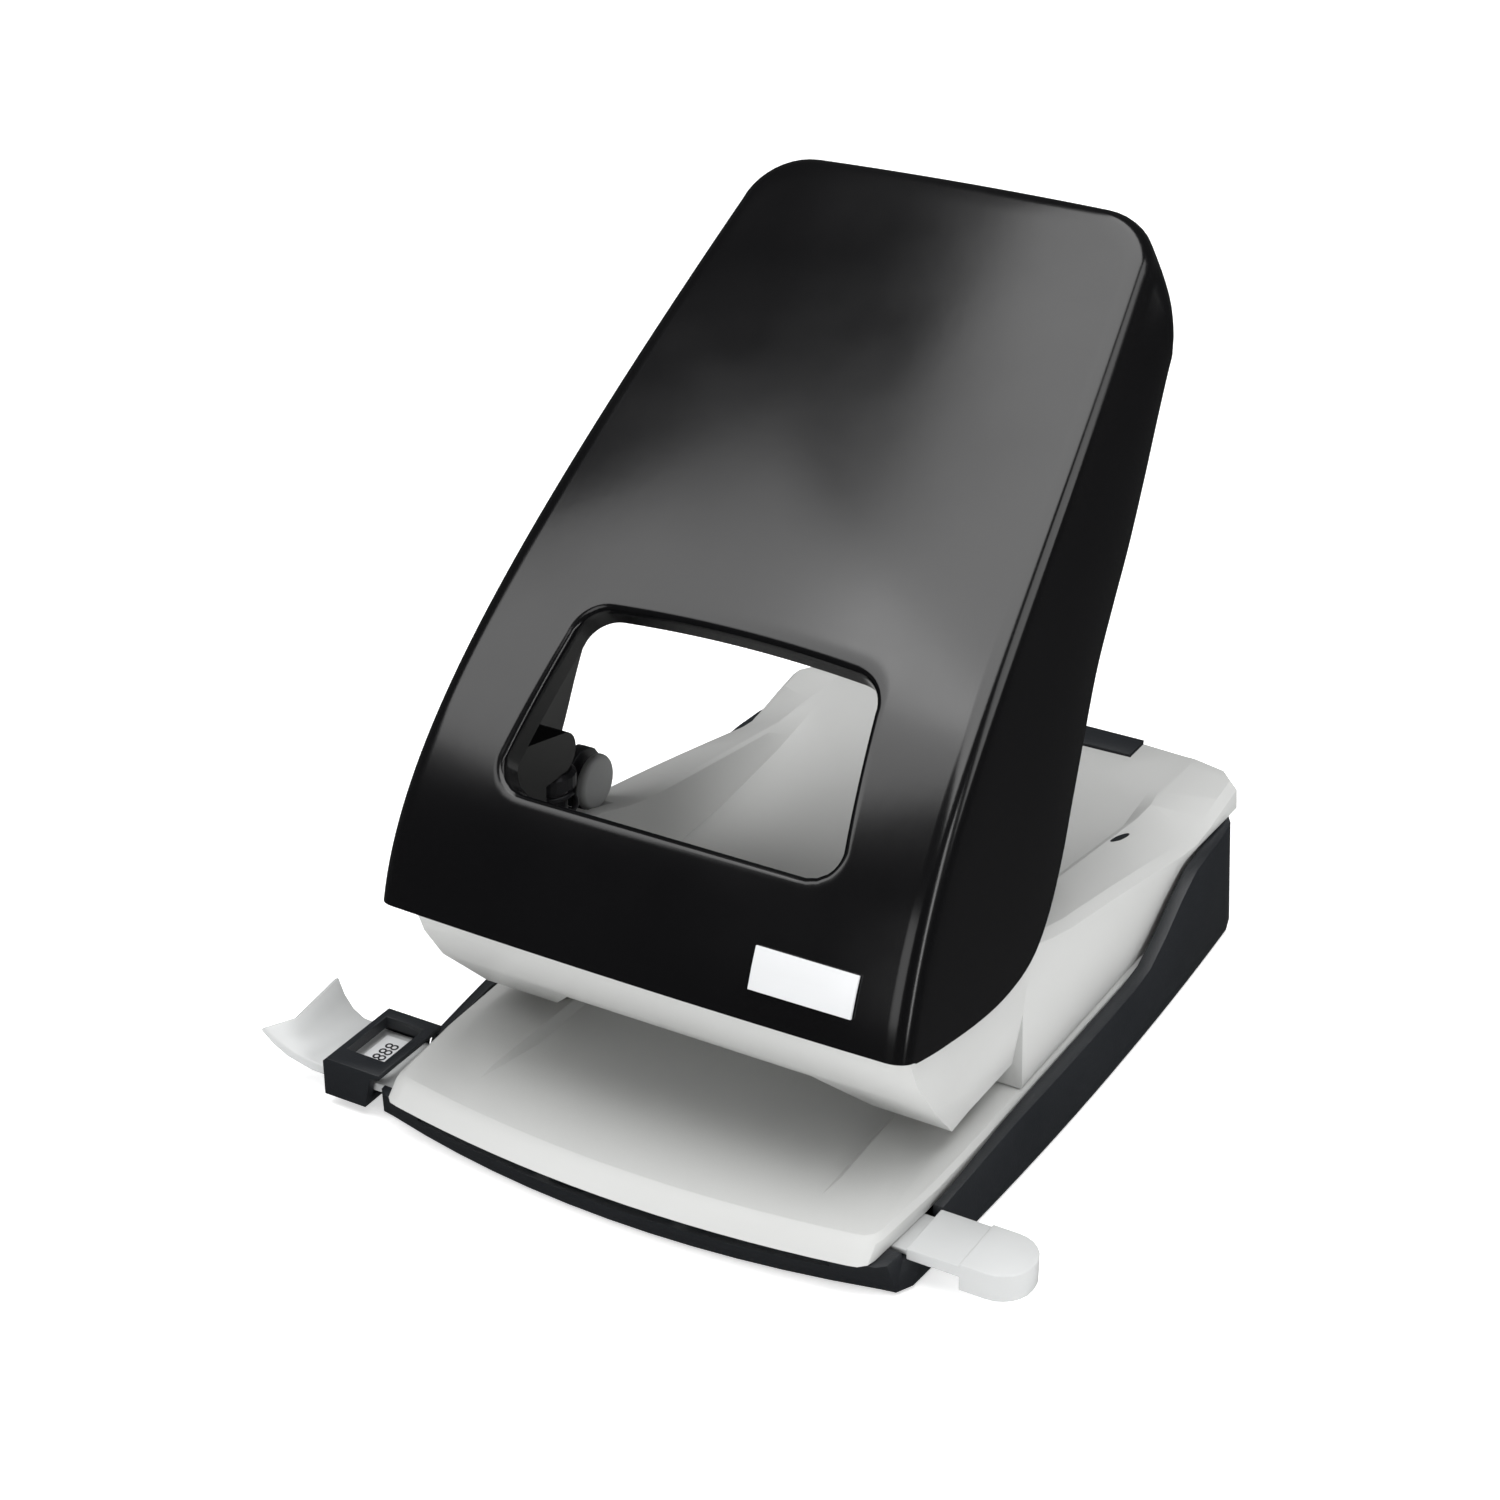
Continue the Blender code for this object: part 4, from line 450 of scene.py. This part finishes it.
def make_lever():
    mesh = bmesh.new()
    ring = start_ring(mesh, [on_lever(s, x, 5.5) for s, x in window_loop(0.0)])
    lip = 1.3
    for depth in (4.4, 3.2, 2.2, lip):
        ring = grow_ring(mesh, ring, [on_lever(s, x, depth) for s, x in window_loop(0.0)])
    for k in range(1, 6):
        turn = math.radians(18.0 * k)
        out = lip * (1.0 - math.cos(turn))
        ring = grow_ring(mesh, ring, [on_lever(s, x, lip * (1.0 - math.sin(turn))) for s, x in window_loop(out)])
    inner = window_loop(lip)
    rings = 30
    for k in range(1, rings + 1):
        t = k / rings
        places = [on_lever(mix(a[0], b[0], t), mix(a[1], b[1], t)) for a, b in zip(inner, border)]
        ring = grow_ring(mesh, ring, places)
    first, last, plan = fold_plan()
    chain = ring[first : last + 1]
    for k in range(1, 7):
        turn = math.radians(15.0 * k)
        out = EDGE_ROUND * math.sin(turn)
        depth = EDGE_ROUND * (1.0 - math.cos(turn))
        places = [on_lever(s + ns * out, x + nx * out, depth) for s, x, ns, nx, _, _ in plan]
        chain = grow_ring(mesh, chain, places, closed=False)
    start = places
    ends = []
    for spot, (s, x, ns, nx, along, corner) in zip(start, plan):
        y, z = free_edge(along)
        fuller = 1.6 * min(max((along - 0.6) / 0.4, 0.0), 1.0) ** 2
        side_end = Vector((math.copysign(lever_half(max(z, 43.0)) + fuller, x), y, z))
        tip_end = spot + Vector((nx * 4.6, 1.0 + ns * 1.6, -10.5))
        ends.append(side_end.lerp(tip_end, corner * corner * (3.0 - 2.0 * corner)))
    rows = 8
    for k in range(1, rows + 1):
        places = []
        for a, b in zip(start, ends):
            place = a.lerp(b, k / rows)
            place.x = mix(a.x, b.x, math.sin(math.pi * 0.5 * k / rows))
            places.append(place)
        chain = grow_ring(mesh, chain, places, closed=False)
    turned_in = [i for i, end in enumerate(ends) if end.z > 79.0]
    for wide, drop in ((0.5, 0.15), (1.4, 0.25), (2.6, 0.3)):
        places = []
        for i in turned_in:
            end = ends[i]
            s, x, ns, nx, _, _ = plan[i]
            share = min(max((end.z - 78.0) / 8.0, 0.0), 1.0)
            step = Vector((-nx, -ns * 0.8, -ns * 0.6)) * wide * share
            down = Vector((0.0, 0.5, -0.4)) * drop * share
            places.append(end + step + down)
        if wide == 0.5:
            hem = [chain[i] for i in turned_in]
        hem = grow_ring(mesh, hem, places, closed=False)
    bmesh.ops.recalc_face_normals(mesh, faces=mesh.faces[:])
    top = max(mesh.faces, key=lambda f: f.calc_area() if f.calc_center_median().z > 0.1 else 0.0)
    if top.normal.z < 0.0:
        bmesh.ops.reverse_faces(mesh, faces=mesh.faces[:])
    print("lever faces:", len(mesh.faces))
    return mesh


lever = as_piece(make_lever(), "lever_shell", "handle", black_enamel, "handle_paint", "handle_shell")
sheet = lever.modifiers.new("Sheet", "SOLIDIFY")
sheet.thickness = 1.2 * MM
sheet.offset = -1.0
rim = lever.modifiers.new("Rim", "BEVEL")
rim.width = 0.3 * MM
rim.segments = 2
rim.limit_method = "ANGLE"
rim.angle_limit = math.radians(50.0)
rim.harden_normals = True

# %% [markdown]
# Each return spring is one wire wound round its punch. A ring of points is spun
# about the punch and lifted a little at each step, which is how a coil is wound. The
# real spring is squashed between the frame and the punch's head as the lever comes
# down; this coil is built at one length and does not change with the lever.
# %% The return springs
TURNS = 6.0


def make_coil(x):
    low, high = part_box("return_spring_left" if x < 0 else "return_spring_right")
    wire = 0.5 * MM
    mesh = bmesh.new()
    made = bmesh.ops.create_circle(mesh, segments=10, radius=wire, cap_ends=True)
    bmesh.ops.rotate(mesh, verts=made["verts"], cent=(0, 0, 0), matrix=Matrix.Rotation(math.radians(90.0), 3, "X"))
    line = (low.y + high.y) * 0.5
    bmesh.ops.translate(mesh, verts=made["verts"], vec=(x * MM + 4.3 * MM, line, low.z + wire))
    steps = int(TURNS * 24)
    rise = (high.z - low.z - 2.0 * wire) / steps
    bmesh.ops.spin(
        mesh, geom=mesh.faces[:] + mesh.edges[:] + mesh.verts[:], cent=(x * MM, line, 0.0), axis=(0, 0, 1),
        dvec=(0, 0, rise), angle=math.radians(360.0 * TURNS), steps=steps, use_merge=False, use_duplicate=False,
    )
    bmesh.ops.recalc_face_normals(mesh, faces=mesh.faces[:])
    return mesh, low


for name, x in (("coil_left", -40.0), ("coil_right", 40.0)):
    mesh, low = make_coil(x)
    print(name, "faces:", len(mesh.faces))
    node = "return_spring_left" if x < 0 else "return_spring_right"
    coil = as_piece(mesh, name, "machine", dark_steel, "steel", node)
    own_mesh(coil)

# %% [markdown]
# The format card shows three digits. They are text, turned into a thin mesh, laid
# on the card and turned so that they read from the front edge.
# %% The format card's digits
card_low, card_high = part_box("format_label")
words = bpy.data.curves.new("digits", "FONT")
words.body = "888"
words.size = 3.9 * MM
words.align_x = "CENTER"
words.align_y = "CENTER"
words.extrude = 0.02 * MM
digits = bpy.data.objects.new("format_digits", words)
bpy.context.scene.collection.objects.link(digits)
bpy.context.view_layer.update()
flat = bpy.data.meshes.new_from_object(digits.evaluated_get(bpy.context.evaluated_depsgraph_get()))
bpy.data.objects.remove(digits)
mesh = bmesh.new()
mesh.from_mesh(flat)
bmesh.ops.remove_doubles(mesh, verts=mesh.verts[:], dist=0.001 * MM)
turn = Vector((1, 0, 0)).rotation_difference(Vector((0, 1, 0))).to_matrix()
bmesh.ops.rotate(mesh, verts=mesh.verts[:], cent=(0, 0, 0), matrix=turn)
centre = (card_low + card_high) * 0.5
bmesh.ops.translate(mesh, verts=mesh.verts[:], vec=(centre.x, centre.y, card_high.z + 0.02 * MM))
print("digit faces:", len(mesh.faces))
as_piece(mesh, "format_digits", "guide", label_ink, "label_paper", smooth=30.0)

# %% [markdown]
# The stage is a pale floor under the rubber feet. Soft lamps stand round it: a broad
# one over the left shoulder that the lever's glossy face mirrors, a key from above,
# and a weak fill from the right.
# %% The floor
floor_mesh = bmesh.new()
bmesh.ops.create_grid(floor_mesh, x_segments=2, y_segments=2, size=6.0)
bmesh.ops.translate(floor_mesh, verts=floor_mesh.verts[:], vec=(0.0, 0.0, cad_low.z))
floor_data = bpy.data.meshes.new("floor")
floor_mesh.to_mesh(floor_data)
floor_mesh.free()
floor = bpy.data.objects.new("floor", floor_data)
bpy.context.scene.collection.objects.link(floor)
floor_paint = bpy.data.materials.new("floor_paint")
floor_paint.use_nodes = True
floor_paint.node_tree.nodes["Principled BSDF"].inputs["Base Color"].default_value = (0.9, 0.9, 0.9, 1.0)
floor_paint.node_tree.nodes["Principled BSDF"].inputs["Roughness"].default_value = 0.9
floor_paint.node_tree.nodes["Principled BSDF"].inputs["Specular IOR Level"].default_value = 0.1
floor_paint.node_tree.nodes["Principled BSDF"].inputs["Emission Color"].default_value = (1.0, 1.0, 1.0, 1.0)
floor_paint.node_tree.nodes["Principled BSDF"].inputs["Emission Strength"].default_value = 0.55
floor_data.materials.append(floor_paint)
floor.visible_glossy = False

# %% The lamps and the world


def add_lamp(name, place, aim, size, power, size_y=None):
    data = bpy.data.lights.new(name, "AREA")
    data.energy = power
    data.size = size
    if size_y:
        data.shape = "RECTANGLE"
        data.size_y = size_y
    lamp = bpy.data.objects.new(name, data)
    lamp.location = place
    lamp.rotation_euler = (Vector(place) - Vector(aim)).to_track_quat("Z", "Y").to_euler()
    bpy.context.scene.collection.objects.link(lamp)
    return lamp


focus = Vector((0.0, 0.03, 0.06))
add_lamp("mirror_lamp", (-0.56, -0.44, 0.90), (0.0, 0.03, 0.1), 0.56, 3.4, 0.66)
add_lamp("key_lamp", (0.15, 0.0, 1.3), focus, 1.3, 19.0)
add_lamp("front_lamp", (0.1, -1.4, 0.55), focus, 0.9, 4.2)
add_lamp("edge_lamp", (1.15, -0.3, 0.3), focus, 0.16, 2.6, 1.0)
add_lamp("right_lamp", (1.1, 0.4, 0.7), focus, 0.7, 3.2)
world = bpy.data.worlds.new("studio")
bpy.context.scene.world = world
world.use_nodes = True
world.node_tree.nodes["Background"].inputs["Color"].default_value = (1.0, 1.0, 1.0, 1.0)
world.node_tree.nodes["Background"].inputs["Strength"].default_value = 0.06
print("lamps:", len(bpy.data.lights))

# %% The camera
camera_data = bpy.data.cameras.new("camera")
camera_data.lens = 74.7
camera_data.sensor_width = 36.0
camera_data.clip_start = 0.01
camera = bpy.data.objects.new("camera", camera_data)
camera.location = (0.2411, -0.4019, 0.3233)
camera.rotation_euler = (math.radians(90.0 - 27.98), 0.0, math.radians(30.268))
bpy.context.scene.collection.objects.link(camera)
bpy.context.scene.camera = camera
bpy.context.scene.view_settings.view_transform = "Standard"
